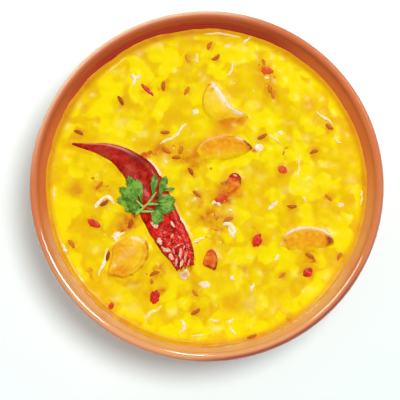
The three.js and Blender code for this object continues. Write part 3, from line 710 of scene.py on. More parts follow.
class Look:
    """A material built round one Principled BSDF, with its colour laid on in coats."""

    def __init__(self, name, **constants):
        self.material = bpy.data.materials.new(name)
        self.material.use_nodes = True
        self.tree = self.material.node_tree
        self.shader = self.tree.nodes["Principled BSDF"]
        self.feed_all(constants)
        self.place = self.node("ShaderNodeTexCoord", output="Object")

    def node(self, kind, settings=None, inputs=None, output=0):
        node = self.tree.nodes.new(kind)
        for name, value in (settings or {}).items():
            setattr(node, name, value)
        for socket, value in (inputs or {}).items():
            self.feed(node.inputs[socket], value)
        return Wire(self, node.outputs[output])

    def feed(self, socket, value):
        if isinstance(value, Wire):
            self.tree.links.new(value.socket, socket)
        else:
            socket.default_value = value

    def feed_all(self, values):
        """Feed the shader's sockets, named with _ in place of a space."""
        for name, value in values.items():
            self.feed(self.shader.inputs[name.replace("_", " ")], value)

    def noise(self, size, detail=3.0, place=None, distortion=0.0):
        """Soft noise with features of about this size, in millimetres."""
        inputs = {"Vector": place or self.place, "Scale": 1 / (size * MM), "Detail": detail,
                  "Distortion": distortion}
        return self.node("ShaderNodeTexNoise", None, inputs)

    def attribute(self, name):
        return self.node("ShaderNodeAttribute", {"attribute_name": name}, output="Fac")

    def axis(self, name):
        return self.node("ShaderNodeSeparateXYZ", None, {0: self.place}, name)

    def mix(self, share, low, high):
        """A mix of two colours, each a wire or a display colour."""
        tints = [tint if isinstance(tint, Wire) else colour(*tint) for tint in (low, high)]
        inputs = {0: share, 6: tints[0], 7: tints[1]}
        return self.node("ShaderNodeMix", {"data_type": "RGBA"}, inputs, 2)

    def ground(self, share, first, second):
        """The first coat, between two colours."""
        self.coat = self.mix(share, first, second)

    def paint(self, share, tint):
        """Lay a coat over the others; the share can be the name of a mesh layer."""
        share = self.attribute(share) if isinstance(share, str) else share
        self.coat = self.mix(share, self.coat, tint)

    def finish(self, roughness, bump=None, **links):
        """The finished material; bump is a height of 0 to 1 and its depth in millimetres."""
        if bump:
            inputs = {"Height": bump[0], "Distance": bump[1] * MM, "Strength": 1.0}
            links["Normal"] = self.node("ShaderNodeBump", None, inputs)
        self.feed_all({"Base_Color": self.coat, "Roughness": roughness, **links})
        return self.material


def mottled(name, ior, specular, size, ramp, first, second, **grain):
    """A look that wanders between two colours, and the noise that it follows."""
    look = Look(name, IOR=ior, Specular_IOR_Level=specular)
    mottle = look.noise(size, **grain)
    look.ground(mottle.ramp(*ramp), first, second)
    return look, mottle


TINT_NAMES = ("warm", "cream", "brown", "soaked")


def paint_tints(look, *colours):
    for name, tint in zip(TINT_NAMES, colours):
        look.paint(name, tint)


def terracotta():
    look = Look("glazed_terracotta", Coat_Roughness=0.06, IOR=1.45, Specular_IOR_Level=0.12)
    x, y, z = (look.axis(name) for name in "XYZ")
    inside = look.attribute("inside")
    radius = (x * x + y * y) ** 0.5

    def facing(across, back):
        """How squarely a place lies in this direction from the middle, at most 1."""
        return (x * across + y * back) / radius

    streaks = look.noise(0.8, 3.0, look.node("ShaderNodeCombineXYZ", None, {"X": radius, "Y": z}))
    clouds = look.noise(22.0)
    patches = look.noise(2.4)
    specks = look.noise(0.9, 2.0).ramp(0.62, 0.74)
    lip = z.span(LIP_BASE_Z - 3.0, LIP_BASE_Z + 1.4)
    inner_lip = lip * (1 - radius.span(INNER_RIM_RADIUS + 0.4, CREST_RADIUS - 0.4))
    outer_lip = lip * radius.span(CREST_RADIUS - 1.1, RIM_RADIUS - 0.9)
    lower_wall = 1 - z.span(DAL_LEVEL + 1.5, DAL_LEVEL + 4.5)
    foot = 1 - z.span(0.2, 1.2)
    far_side = facing(-0.2, 0.98) + (clouds - 0.5) * 0.3
    left_front = facing(-0.76, -0.65)
    right_front = facing(0.62, -0.78)
    front = facing(0.1, -0.995)
    painted_glints = left_front.ramp(0.95, 0.99) + front.ramp(0.985, 0.999) + right_front.ramp(0.93, 0.99)

    # Painted light and shade: the wall is lighter on the near side and deep red on the far side.
    look.ground(far_side.ramp(-0.9, 0.15), (239, 172, 112), (228, 118, 62))
    look.paint(far_side.ramp(0.45, 0.95), (176, 30, 40))
    # Painted light: the lower-left wall is paler.
    look.paint(left_front.ramp(0.8, 1.0) * 0.4, (250, 206, 168))
    # Painted glints: pale patches low on the near wall, above the dal.
    look.paint(painted_glints * patches.ramp(0.42, 0.6) * lower_wall * 0.75, (255, 226, 190))
    # Painted shade: the outside darkens towards the front right.
    outside = look.mix(right_front.ramp(0.5, 0.95), (212, 116, 72), (150, 54, 36))
    look.ground(inside, outside, look.coat)
    look.paint(streaks.ramp(0.42, 0.68) * 0.3, (232, 150, 100))
    # Painted light: the lip is lighter on the near side.
    near_lip = facing(-0.09, -0.996).ramp(0.4, 0.75)
    look.paint(lip * inside * 0.85, look.mix(near_lip, (215, 120, 70), (235, 162, 106)))
    # Painted shade: the inner lip darkens on the far side.
    look.paint(inner_lip * far_side.ramp(0.05, 0.6) * 0.7, (186, 82, 56))
    # Painted reflection: a cream band on the outer lip at the back left.
    look.paint(outer_lip * facing(-0.54, 0.84).ramp(0.5, 0.92) * 0.9, (246, 204, 162))
    # Painted shade: the outer lip darkens at the front right.
    look.paint(outer_lip * facing(0.5, -0.866).ramp(0.8, 0.94), (176, 84, 58))
    look.paint(specks * 0.2, (150, 62, 34))
    look.paint(foot, (206, 132, 96))
    dull = far_side.ramp(-0.35, 0.15) * inside.ramp(0.1, 0.6)
    return look.finish(0.4 + 0.2 * clouds + 0.2 * foot, (look.noise(0.6) * 0.5 + streaks * 0.5, 0.03),
                       Coat_Weight=(1 - 0.85 * dull) * (1 - foot))


def dal_look():
    look, _ = mottled("yellow_dal", 1.36, 0.13, 12.0, (0.38, 0.62), (243, 214, 0), (236, 197, 0))
    fine = look.noise(1.9, 4.0)
    look.paint(look.attribute("pale").ramp(0.05, 0.85) * 0.9, (250, 230, 2))
    look.paint(fine.ramp(0.56, 0.72) * 0.12, (251, 234, 40))
    # The amber tint includes painted shade beside the chilli.
    look.paint("amber", (227, 147, 26))
    # Pale cream spots: burst lentils and painted highlights.
    look.paint(look.attribute("cream") * 0.75, (254, 243, 150))
    look.paint(look.attribute("rust") * fine.ramp(0.2, 0.55), (208, 100, 20))
    return look.finish(0.16 + 0.22 * fine, (look.noise(0.9), 0.03))


def cumin_look():
    look = Look("cumin_seed", IOR=1.45, Specular_IOR_Level=0.15)
    tone = look.attribute("tone")
    look.ground(tone, (144, 46, 14), (204, 92, 24))
    look.paint(look.attribute("rib") * (0.15 + 0.25 * tone), (222, 130, 44))
    look.paint(look.noise(0.9).ramp(0.55, 0.7) * 0.4, (104, 36, 14))
    look.paint("faint", (224, 156, 22))
    return look.finish(0.35 + 0.2 * look.noise(1.0))


def flake_look():
    look, mottle = mottled("chilli_flake", 1.45, 0.2, 1.6, (0.4, 0.62), (188, 20, 14), (230, 34, 30))
    look.paint(look.attribute("tone") * 0.9, (226, 96, 24))
    # Painted highlights: small pink specks.
    look.paint(look.noise(0.6).ramp(0.6, 0.7) * 0.4, (246, 110, 92))
    return look.finish(0.26 + 0.2 * mottle, (mottle, 0.15))


def onion_look():
    look, mottle = mottled("onion_shred", 1.4, 0.2, 1.6, (0.4, 0.62), (255, 236, 176), (255, 249, 228))
    look.paint("tone", (216, 146, 104))
    look.paint("soaked", (251, 220, 44))
    return look.finish(0.3 + 0.2 * mottle, (look.noise(0.8), 0.06))


def crumb_look():
    look = Look("spice_crumb", IOR=1.45, Specular_IOR_Level=0.1)
    mottle = look.noise(0.8)
    look.ground(look.attribute("tone"), (202, 98, 22), (242, 170, 26))
    look.paint(mottle.ramp(0.5, 0.66) * 0.35, (206, 70, 24))
    return look.finish(0.4 + 0.3 * mottle)


def chilli_look():
    look = Look("dried_chilli_skin", IOR=1.45, Coat_Roughness=0.2, Specular_IOR_Level=0.1)
    along = look.attribute("along")
    side = look.attribute("side")
    mottle = look.noise(2.6, 4.0, distortion=0.5)
    fine = look.noise(0.8)
    shade = side.hill(0.1, 0.5, 0.86, 0.98) * along.hill(0.14, 0.26, 0.34, 0.5)
    sheen = side.hill(0.5, 0.72, 0.84, 0.96) * along.hill(0.06, 0.12, 0.24, 0.34)
    look.ground(mottle.ramp(0.34, 0.66), (150, 14, 4), (196, 38, 18))
    # Painted sheen: soft brownish-pink patches on the pod.
    look.paint(look.noise(5.0, 2.0).ramp(0.5, 0.7) * 0.35, (190, 84, 62))
    look.paint(shade * 0.75, (122, 8, 6))
    look.paint(sheen * 0.9, (222, 122, 116))
    # The darker skin up to past the sprig: partly the pod's own colour, partly painted shade.
    lower = look.mix(mottle.ramp(0.36, 0.58), (150, 8, 8), (228, 34, 24))
    look.paint(along.ramp(0.52, 0.72), lower)
    look.paint(1 - along.ramp(0.0, 0.03), (120, 44, 22))
    # Pale pink flecks on the lower pod: pith, and painted wet highlights.
    look.paint(along.ramp(0.66, 0.92) * fine.ramp(0.55, 0.66) * 0.75, (246, 150, 124))
    # Painted shade along both sides of the pod.
    look.paint(side.math("ABSOLUTE").ramp(0.84, 1.0) * 0.5, (124, 12, 8))
    return look.finish(0.36 + 0.25 * mottle, (mottle * 0.7 + fine * 0.3, 0.2),
                       Coat_Weight=0.02 + 0.07 * mottle.ramp(0.45, 0.6))


def seed_look():
    look, mottle = mottled("chilli_seed", 1.45, 0.2, 1.0, (0.4, 0.62), (240, 172, 132), (255, 238, 214))
    look.paint("blush", (226, 70, 60))
    return look.finish(0.35 + 0.2 * mottle, (mottle, 0.12))


def leaf_look():
    look, patches = mottled("coriander_leaf", 1.4, 0.25, 2.6, (0.38, 0.62), (74, 124, 30), (128, 180, 56))
    along = look.attribute("along")
    spread = look.attribute("across").math("ABSOLUTE")
    side_veins = ((along * 4.0 - spread * 1.6).math("FRACT") - 0.5).math("ABSOLUTE")
    vein = (1 - spread.ramp(0.03, 0.16)).math("MAXIMUM", (1 - side_veins.ramp(0.02, 0.14)) * 0.4)
    look.paint(vein * 0.5, (152, 196, 92))
    look.paint((1 - along.ramp(0.1, 0.5)) * 0.4, (72, 108, 34))
    return look.finish(0.42 + 0.2 * patches, (1 - vein, 0.15), Coat_Weight=0.06 * patches)


def stalk_look():
    look, patches = mottled("coriander_stalk", 1.4, 0.25, 3.0, (0.35, 0.65), (140, 188, 76),
                            (170, 208, 98))
    return look.finish(0.38 + 0.15 * patches, (look.noise(0.8), 0.08))


def slice_look():
    look, streaks = mottled("golden_onion_flesh", 1.4, 0.15, 3.2, (0.3, 0.7), (251, 216, 30),
                            (247, 198, 22), distortion=0.6)
    grains = look.noise(1.1)
    look.paint(grains.ramp(0.56, 0.7) * 0.15, (254, 232, 110))
    # The cream tint is partly pale skin and partly painted highlight.
    paint_tints(look, (238, 154, 20), (255, 247, 226), (158, 50, 18), (246, 208, 2))
    return look.finish(0.3 + 0.2 * streaks, (grains, 0.12))


def tomato_look():
    look, mottle = mottled("tomato_flesh", 1.4, 0.2, 1.8, (0.38, 0.64), (226, 104, 24),
                           (242, 150, 36), detail=4.0)
    # The cream tint is a painted highlight.
    paint_tints(look, (204, 38, 26), (255, 240, 206), (130, 30, 16), (242, 176, 14))
    return look.finish(0.34 + 0.25 * mottle, (mottle, 0.3))


FLOOR_GLOW = 0.1  # keeps the floor a clear white beside the bowl
FLOOR_TINT = (0.85, 1.0, 0.96, 1.0)


def floor_look():
    look = Look("floor", Specular_IOR_Level=0.0, Emission_Color=FLOOR_TINT, Emission_Strength=FLOOR_GLOW)
    look.ground(look.noise(90.0), (242, 252, 250), (244, 253, 251))
    return look.finish(0.9 + 0.05 * look.noise(60.0))


# ---- Making meshes ----

MERGE_DISTANCE = 0.002


def place_object(name, data):
    thing = bpy.data.objects.new(name, data)
    bpy.context.collection.objects.link(thing)
    return thing


def mesh_object(name, bm, material):
    """An object at the origin with this mesh, in one material."""
    mesh = bpy.data.meshes.new(name)
    bm.to_mesh(mesh)
    bm.free()
    mesh.materials.append(material)
    return place_object(name, mesh)


def add_piece(name, bm, material, slot, *stands_for):
    """Turn a bmesh in millimetres into a finished object in metres on the root body."""
    bmesh.ops.remove_doubles(bm, verts=bm.verts, dist=MERGE_DISTANCE)
    bmesh.ops.recalc_face_normals(bm, faces=bm.faces)
    bmesh.ops.scale(bm, vec=(MM, MM, MM), verts=bm.verts)
    piece = mesh_object(name, bm, material)
    piece.data.shade_smooth()
    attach(piece, "root")
    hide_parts(*stands_for)
    return piece


def thicken(piece, thickness):
    """Give a thin skin its thickness, inwards."""
    wall = piece.modifiers.new("wall", "SOLIDIFY")
    wall.thickness = thickness * MM
    wall.offset = -1.0
    wall.use_even_offset = False


def layer(bm, name):
    layers = bm.verts.layers.float
    return layers.get(name) or layers.new(name)


def ball(detail):
    bm = bmesh.new()
    bmesh.ops.create_icosphere(bm, subdivisions=detail, radius=1.0)
    return bm


def noise_place(draw):
    """A place of its own in the noise, so that no two pieces are alike."""
    return Vector([draw.uniform(-50, 50) for _ in range(3)])


def add_parts(name, parts, material, slot, node):
    """Add a piece made of many small bmeshes."""
    bm = bmesh.new()
    for part in parts:
        mesh = bpy.data.meshes.new("part")
        part.to_mesh(mesh)
        part.free()
        bm.from_mesh(mesh)
        bpy.data.meshes.remove(mesh)
    return add_piece(name, bm, material, slot, node)


def spindle(profile, sides, axis=(1, 0, 0), out=(0, 1, 0)):
    """A profile of places along an axis and radii there, spun into a closed skin."""
    bm = bmesh.new()
    axis, out = Vector(axis), Vector(out)
    verts = [bm.verts.new(axis * place + out * radius) for place, radius in profile]
    edges = [bm.edges.new(pair) for pair in zip(verts, verts[1:])]
    bmesh.ops.spin(bm, geom=verts + edges, cent=(0, 0, 0), axis=axis, angle=2 * math.pi,
                   steps=sides, use_merge=True)
    bmesh.ops.remove_doubles(bm, verts=bm.verts, dist=1e-5)
    return bm


def rod(steps, bluntness, sides):
    """A rod from 0 to 1 along x with rounded ends, closer stepped there."""
    profile = []
    for k in range(steps + 1):
        share = (1 - math.cos(math.pi * k / steps)) / 2
        profile.append((share, (1 - abs(2 * share - 1) ** bluntness) ** 0.5))
    return spindle(profile, sides)


# ---- The bowl ----

BOWL_SEGMENTS = 160
WALL_STEPS = 90
LIP_STEPS = 24
RING_DEPTH = 0.02  # throwing rings in the wall
RING_LENGTH = 1.5
RING_FADE = 8  # the rings reach full depth within 1 / 8 of the wall from its ends
FOOT_EDGE = 0.3  # rounding of the foot ring's inner edge


def wall_points(corners, steps):
    """Points up a wall, with shallow throwing rings that fade at both ends."""
    points = []
    for share in shares(steps):
        point = bezier(corners, share)
        rings = RING_DEPTH * math.sin(2 * math.pi * point.y / RING_LENGTH + 2 * math.sin(point.y))
        point.x += rings * min(1, RING_FADE * share, RING_FADE * (1 - share))
        points.append((point.y, point.x))
    return points


def make_bowl():
    foot_inside = FOOT_RADIUS - FOOT_WIDTH
    profile = [
        (UNDERSIDE_Z, 0.0),
        (UNDERSIDE_Z, 0.5 * foot_inside),
        (UNDERSIDE_Z, foot_inside - FOOT_BEVEL),
        (UNDERSIDE_Z - FOOT_BEVEL / 2, foot_inside - FOOT_BEVEL / 4),
        (UNDERSIDE_Z - FOOT_BEVEL, foot_inside),
        (FOOT_EDGE, foot_inside),
        (0.0, foot_inside + FOOT_EDGE),
        (0.0, FOOT_RADIUS - FOOT_BEVEL),
        (FOOT_BEVEL / 3, FOOT_RADIUS - FOOT_BEVEL / 3),
        (FOOT_BEVEL, FOOT_RADIUS),
    ]
    profile += wall_points(OUTER_WALL, WALL_STEPS)
    for k in range(1, LIP_STEPS):
        angle = math.pi * k / LIP_STEPS
        edge_radius = RIM_RADIUS if math.cos(angle) > 0 else INNER_RIM_RADIUS
        radius = lerp(CREST_RADIUS, edge_radius, abs(math.cos(angle)))
        profile.append((LIP_BASE_Z + LIP_RISE * math.sin(angle), radius))
    profile += reversed(wall_points(INNER_WALL, WALL_STEPS))
    bm = spindle(profile, BOWL_SEGMENTS, axis=(0, 0, 1), out=(1, 0, 0))
    inside = layer(bm, "inside")
    for vert in bm.verts:
        radius = vert.co.to_2d().length
        if vert.co.z > LIP_BASE_Z:
            vert[inside] = smooth((RIM_RADIUS - radius) / (RIM_RADIUS - CREST_RADIUS))
        else:
            vert[inside] = float(radius < wall_radius(vert.co.z) + LIP_THICKNESS / 2)
    add_piece("terracotta_bowl", bm, terracotta(), "glazed_terracotta", "bowl")


# ---- The dal ----

DAL_CELLS = 276
FILM_START = 0.975  # share of the dal's radius where the thin sauce starts to climb
DAL_WALL_RINGS = 8
WALL_GAP = 0.3
DAL_OVERLAP = 0.1  # how far the dal's edge reaches into the wall
FILM_MEAN = 0.5
FILM_WAVES = ((0.7, 2.2), (0.45, 7.0), (0.2, 19.0))  # share and number of its waves
FILM_RIGHT_SHARE = 0.4  # it climbs less on the right
FILM_AMBER = (0.5, 0.2)  # its tint, and how much more where it climbs


def disc_place(u, v):
    """A place in a square of half side 1, moved into a disc of radius 1."""
    if abs(u) > abs(v):
        return u * math.cos(math.pi / 4 * v / u), u * math.sin(math.pi / 4 * v / u)
    if v == 0:
        return 0.0, 0.0
    return v * math.sin(math.pi / 4 * u / v), v * math.cos(math.pi / 4 * u / v)


def film_reach(x, y):
    """How much higher the thin sauce clings to the wall in this direction."""
    away = Vector((x, y, 0)).normalized()
    reach = FILM_MEAN
    for share, waves in FILM_WAVES:
        reach += share * noise.noise(away * waves)
    left = float(smooth((1.0 - away.x) / 1.6))
    return FILM_WANDER * max(0.0, reach) * lerp(FILM_RIGHT_SHARE, 1.0, left)


def make_dal():
    bm = bmesh.new()
    bmesh.ops.create_grid(bm, x_segments=DAL_CELLS, y_segments=DAL_CELLS, size=1.0)
    maps = {"pale": pale_map, "amber": amber_map, "cream": cream_map, "rust": rust_stain_map}
    tints = {name: layer(bm, name) for name in maps}
    top_share = wall_share(DAL_LEVEL + MENISCUS_RISE + FILM_RISE)
    edge_radius = bezier(INNER_WALL, top_share).x + DAL_OVERLAP
    for vert in bm.verts:
        u, v = disc_place(vert.co.x, vert.co.y)
        x, y = edge_radius * u, edge_radius * v
        clinging = float(smooth((math.hypot(u, v) - FILM_START) / (1 - FILM_START)))
        top = dal_top(x, y)
        for name, tint in tints.items():
            vert[tint] = read_map(maps[name], x, y)
        if clinging > 0:
            reach = film_reach(x, y)
            climb = reach * clinging ** 2
            spread = 1 + (wall_radius(top + climb) - wall_radius(top)) / edge_radius
            film_amber = clinging ** 2 * (FILM_AMBER[0] + FILM_AMBER[1] * reach)
            vert[tints["amber"]] = max(vert[tints["amber"]], film_amber)
            vert.co = (x * spread, y * spread, top + climb)
        else:
            vert.co = (x, y, top)
    ring = [edge for edge in bm.edges if edge.is_boundary]
    for k in range(1, DAL_WALL_RINGS):
        point = bezier(INNER_WALL, top_share * (1 - k / DAL_WALL_RINGS))
        made = bmesh.ops.extrude_edge_only(bm, edges=ring)["geom"]
        ring = [item for item in made if isinstance(item, bmesh.types.BMEdge) and item.is_boundary]
        for vert in {vert for edge in ring for vert in edge.verts}:
            flat = vert.co.to_2d().normalized() * (point.x - WALL_GAP)
            vert.co = (flat.x, flat.y, point.y + WALL_GAP)
    bmesh.ops.contextual_create(bm, geom=ring)
    add_piece("dal_surface", bm, dal_look(), "dal", "dal")


# ---- Bits on the dal ----

def lay(bm, x, y, degrees, lift, lean=0.0):
    """Turn a small piece about its middle and lay it on the dal."""
    turn = Matrix.Rotation(math.radians(degrees), 4, "Z") @ Matrix.Rotation(lean, 4, "X")
    bmesh.ops.transform(bm, matrix=Matrix.Translation((x, y, dal_top(x, y) + lift)) @ turn,
                        verts=bm.verts)
    return bm


# Rods: steps along them, bluntness of the ends and number of sides.
CUMIN_ROD = (10, 2.2, 14)
SHRED_ROD = (26, 3.0, 10)
STALK_ROD = (12, 6.0, 10)

CUMIN_BOW = 0.5
CUMIN_STRETCH = (0.82, 1.0)
CUMIN_RIBS = 7
CUMIN_SWELL = 1.12  # girth at a rib, as a share of the size
CUMIN_GROOVE = 0.14
CUMIN_LIFT = (-0.1, 0.3)
CUMIN_SINK = 0.5  # how much deeper a seed lies that has the dal's colour


def make_cumin_seed(draw, faintness):
    """A slim curved seed with ribs along it."""
    length, width, thickness = CUMIN_SIZE
    bm = rod(*CUMIN_ROD)
    rib, tone, faint = (layer(bm, name) for name in ("rib", "tone", "faint"))
    bow = draw.uniform(-CUMIN_BOW, CUMIN_BOW)
    stretch = draw.uniform(*CUMIN_STRETCH)
    own_tone = min(1.0, 0.5 * draw.random() + 3 * faintness)
    for vert in bm.verts:
        share = vert.co.x
        angle = math.atan2(vert.co.z, vert.co.y)
        ridge = 0.5 + 0.5 * math.cos(CUMIN_RIBS * angle)
        swell = CUMIN_SWELL - CUMIN_GROOVE * (1 - ridge)
        vert[rib], vert[tone], vert[faint] = ridge, own_tone, faintness
        arch = bow * (1 - (2 * share - 1) ** 2)
        vert.co = ((share - 0.5) * length * stretch, vert.co.y * width / 2 * swell + arch,
                   vert.co.z * thickness / 2 * swell)
    return bm


def make_cumin():
    draw = random.Random(5)
    for x, y, degrees, faintness in CUMIN_SEEDS:
        seed = make_cumin_seed(draw, faintness)
        yield lay(seed, x, y, degrees, draw.uniform(*CUMIN_LIFT) - CUMIN_SINK * faintness)


SCRAP_DETAIL = 4  # rounds of subdividing
FLAKE_CORNERS = 7
FLAKE_CORNER_REACH = (0.8, 1.1)
FLAKE_ROUGHNESS = 0.3
FLAKE_FULLNESS = -0.4  # below 0, the scrap is fuller towards its outline
FLAKE_FLATNESS = 0.3
FLAKE_CRUMPLE = 0.6
FLAKE_LIFT = 0.25
FLAKE_LEAN = 0.15


def make_flake(draw, length, width, crumpling):
    """A torn, crumpled scrap of skin with an angular outline."""
    bm = ball(SCRAP_DETAIL)
    tone = layer(bm, "tone")
    shift = noise_place(draw)
    corners = [draw.uniform(*FLAKE_CORNER_REACH) for _ in range(FLAKE_CORNERS)]
    own_tone = draw.uniform(0.0, 0.3)
    for vert in bm.verts:
        angle = math.atan2(vert.co.y, vert.co.x) / (2 * math.pi) * FLAKE_CORNERS
        first = math.floor(angle)
        here, after = corners[first % FLAKE_CORNERS], corners[(first + 1) % FLAKE_CORNERS]
        reach = lerp(here, after, angle - first)
        rough = 1 + FLAKE_ROUGHNESS * noise.noise(vert.co * 2.2 + shift)
        out = max(math.hypot(vert.co.x, vert.co.y), 1e-6)
        spread = out ** FLAKE_FULLNESS * reach * rough
        x, y = vert.co.x * spread * length / 2, vert.co.y * spread * width / 2
        flat = Vector((x, y, 0))
        crumple = 0.7 * noise.noise(flat * 0.55 + shift) + 0.3 * noise.noise(flat * 1.3 + shift)
        vert.co = (x, y, vert.co.z * FLAKE_THICKNESS * FLAKE_FLATNESS + crumple * crumpling)
        vert[tone] = own_tone + 0.9 * max(0.0, noise.noise(Vector((x, y, 3)) * 0.6 + shift))
    return bm


def make_flakes():
    draw = random.Random(9)
    for x, y, length, width, degrees, orange in FLAKES:
        flake = make_flake(draw, length, width, FLAKE_CRUMPLE)
        tone = layer(flake, "tone")
        for vert in flake.verts:
            vert[tone] = min(1.0, 0.6 * vert[tone] + orange)
        yield lay(flake, x, y, degrees, FLAKE_LIFT, draw.uniform(-FLAKE_LEAN, FLAKE_LEAN))


CRUMB_DETAIL = 2
CRUMB_SLIMNESS = (0.4, 0.85)
CRUMB_FLATNESS = 0.3
CRUMB_ROUGHNESS = 0.5
CRUMB_SINK = 0.105  # how deep a crumb sits, as a share of its size


def make_crumb(draw, size):
    """A tiny rough crumb."""
    bm = ball(CRUMB_DETAIL)
    shift = noise_place(draw)
    slimness = draw.uniform(*CRUMB_SLIMNESS)
    for vert in bm.verts:
        rough = 1 + CRUMB_ROUGHNESS * noise.noise(vert.co * 1.3 + shift)
        shape = Vector((vert.co.x, vert.co.y * slimness, vert.co.z * CRUMB_FLATNESS))
        vert.co = shape * (size / 2 * rough)
    return bm


def on_topping(x, y):
    """Whether a place is on or beside a piece that lies in the dal."""
    return math.hypot(x, y) > DAL_EDGE_RADIUS - 3 or read_map(gap_map, x, y) < CRUMB_GAP


def scatter_crumbs(clusters, sizes, seed, mark):
    """Small crumbs round the middles given, marked with a layer value."""
    draw = random.Random(seed)
    for cx, cy, spread, count in clusters:
        for _ in range(count):
            x, y = draw.gauss(cx, spread), draw.gauss(cy, spread)
            size, turn, value = draw.uniform(*sizes), draw.uniform(0, 180), draw.random()
            crumb = make_crumb(draw, size)
            if on_topping(x, y):
                crumb.free()
                continue
            marked = layer(crumb, mark)
            for vert in crumb.verts:
                vert[marked] = lerp(0.2, 1.0, value)
            yield lay(crumb, x, y, turn, -CRUMB_SINK * size)


ONION_CRUMPLE = 0.4
SHRED_SWELL = 0.7
SHRED_WANDER = 0.5
SHRED_DIP = (0.35, 0.3)  # how far it sinks at its ends, and by chance along it
SHRED_LIFT = 0.2
SHRED_FLATNESS = 0.6
SHRED_SOAK = 1.4  # how much more of the dal's colour it takes for each millimetre sunk


def make_shred(half_width, soak, points, draw):
    """A soft shred of onion that follows the dal's surface and sinks in at its ends."""
    bm = rod(*SHRED_ROD)
    tone, soaked = layer(bm, "tone"), layer(bm, "soaked")
    own_tone = draw.uniform(0.0, 0.1)
    shift = draw.uniform(0, 60)
    line = [(x, y, 0) for x, y in points]
    for vert in bm.verts:
        share = vert.co.x
        middle, along = spline_frame(line, share)
        swell = 1 + SHRED_SWELL * noise.noise(Vector((share * 5, shift, 0)))
        wander = SHRED_WANDER * noise.noise(Vector((share * 4, shift, 3)))
        across = vert.co.y * half_width * swell + wander
        x = middle.x - along.y * across
        y = middle.y + along.x * across
        sunk = SHRED_DIP[0] * abs(2 * share - 1) ** 3
        sunk += SHRED_DIP[1] * noise.noise(Vector((share * 3, shift, 7)))
        top = dal_top(x, y) + SHRED_LIFT - sunk
        vert.co = (x, y, top + vert.co.z * half_width * SHRED_FLATNESS)
        vert[tone] = own_tone
        vert[soaked] = min(1.0, max(0.0, soak + sunk * SHRED_SOAK))
    return bm


def make_onion():
    draw = random.Random(14)
    for x, y, length, width, degrees, browned, soak in ONION_BITS:
        bit = make_flake(draw, length, width, ONION_CRUMPLE)
        tone, soaked = layer(bit, "tone"), layer(bit, "soaked")
        for vert in bit.verts:
            out = math.hypot(vert.co.x / length, vert.co.y / width) * 2
            vert[tone] = min(1.0, 0.4 * vert[tone] + browned * (1.2 - out))
            vert[soaked] = lerp(soak, 1.0, 0.5 * float(smooth((out - 0.7) / 0.5)))
        yield lay(bit, x, y, degrees, 0.0)
    for half_width, soak, points in ONION_SHREDS:
        yield make_shred(half_width, soak, points, draw)
    yield from scatter_crumbs(ONION_CLUSTERS, ONION_CRUMB_SIZE, 19, "soaked")


# ---- The chilli ----

CHILLI_RINGS = 150
CHILLI_SIDES = 64
TEAR_START = 0.96  # where the upper skin is torn, along the pod
TEAR_RAGGEDNESS = 0.04
TEAR_CURVE = 0.06  # how much further it reaches at the pod's sides
SKIN_THICKNESS = 0.35
WIDEST = 8.2  # half the pod's width at its widest
CREASE_DEPTH = 0.4  # the soft hollow along the top
CREASE_WIDTH = 0.45
FOLD_SHARE = 0.55
CRUMPLE_SHARE = 0.9
WRINKLE_HEIGHT = 0.42
END_START = 0.93  # from here on the torn end's lower skin is frayed
END_LENGTH = 80.0  # millimetres for a share of 1 past the end
END_FRAY = ((0.012, 19), (0.01, 31))  # share of the pod's length, and number of teeth round it


def chilli_half_height(half_width):
    return half_width * CHILLI_FLATNESS + CHILLI_SKIN


def chilli_surface(share, angle):
    """A point of the pod's wrinkled skin at a share of its length and an angle round it."""
    station, along = spline_frame(CHILLI_STATIONS, share)
    side, up = math.cos(angle), math.sin(angle)
    girth = station.z / WIDEST
    folds = 0.5 * math.sin(5 * side + 9 * share) + 0.5 * math.sin(9 * side - 14 * share + 1.0)
    crumple = noise.noise(Vector((share * 26, side * 2.2, up * 1.5)))
    ridge = FOLD_SHARE * folds + CRUMPLE_SHARE * crumple
    crease = 1 - CREASE_DEPTH * math.exp(-(side / CREASE_WIDTH) ** 2) * girth
    across = side * station.z * (1 + 0.05 * crumple)
    height = up * chilli_half_height(station.z) * crease + WRINKLE_HEIGHT * ridge * girth * abs(up)
    return Vector((station.x + along.y * across, station.y - along.x * across,
                   CHILLI_MIDDLE_Z + height))


def tear_edge(side):
    """How far along the pod the torn upper skin reaches, for a place across it."""
    teeth = math.sin(7.3 * side + 1.0) + 0.6 * math.sin(17.0 * side)
    return TEAR_START + TEAR_CURVE * side * side + TEAR_RAGGEDNESS * 0.5 * teeth


def make_chilli_pod():
    profile = [(0.0, 0.0)] + [(share, 1.0) for share in shares(CHILLI_RINGS)]
    bm = spindle(profile, CHILLI_SIDES)
    torn = []
    for face in bm.faces:
        middle = face.calc_center_median()
        if middle.z > 0.05 and middle.x > tear_edge(middle.y):
            torn.append(face)
    bmesh.ops.delete(bm, geom=torn, context="FACES")
    along, side = layer(bm, "along"), layer(bm, "side")
    tip = Vector((*CHILLI_STATIONS[0][:2], CHILLI_MIDDLE_Z))
    _, forward = spline_frame(CHILLI_STATIONS, 1.0)
    for vert in bm.verts:
        angle = math.atan2(vert.co.z, vert.co.y)
        fray = sum(depth * math.sin(teeth * angle) for depth, teeth in END_FRAY)
        fray *= max(0.0, (vert.co.x - END_START) / (1 - END_START))
        share = min(vert.co.x, 1.0) + fray
        vert[along] = share
        vert[side] = -math.cos(angle)
        if vert.co.yz.length < 0.5:
            vert.co = tip
        else:
            past_end = max(0.0, share - 1.0) * END_LENGTH
            vert.co = chilli_surface(min(share, 1.0), angle) + (forward * past_end).to_3d()
    pod = add_piece("chilli_pod", bm, chilli_look(), "dried_chilli", "chilli")
    thicken(pod, SKIN_THICKNESS)


CHILLI_SAMPLES = 80
chilli_samples = [spline_point(CHILLI_STATIONS, share) for share in shares(CHILLI_SAMPLES)]


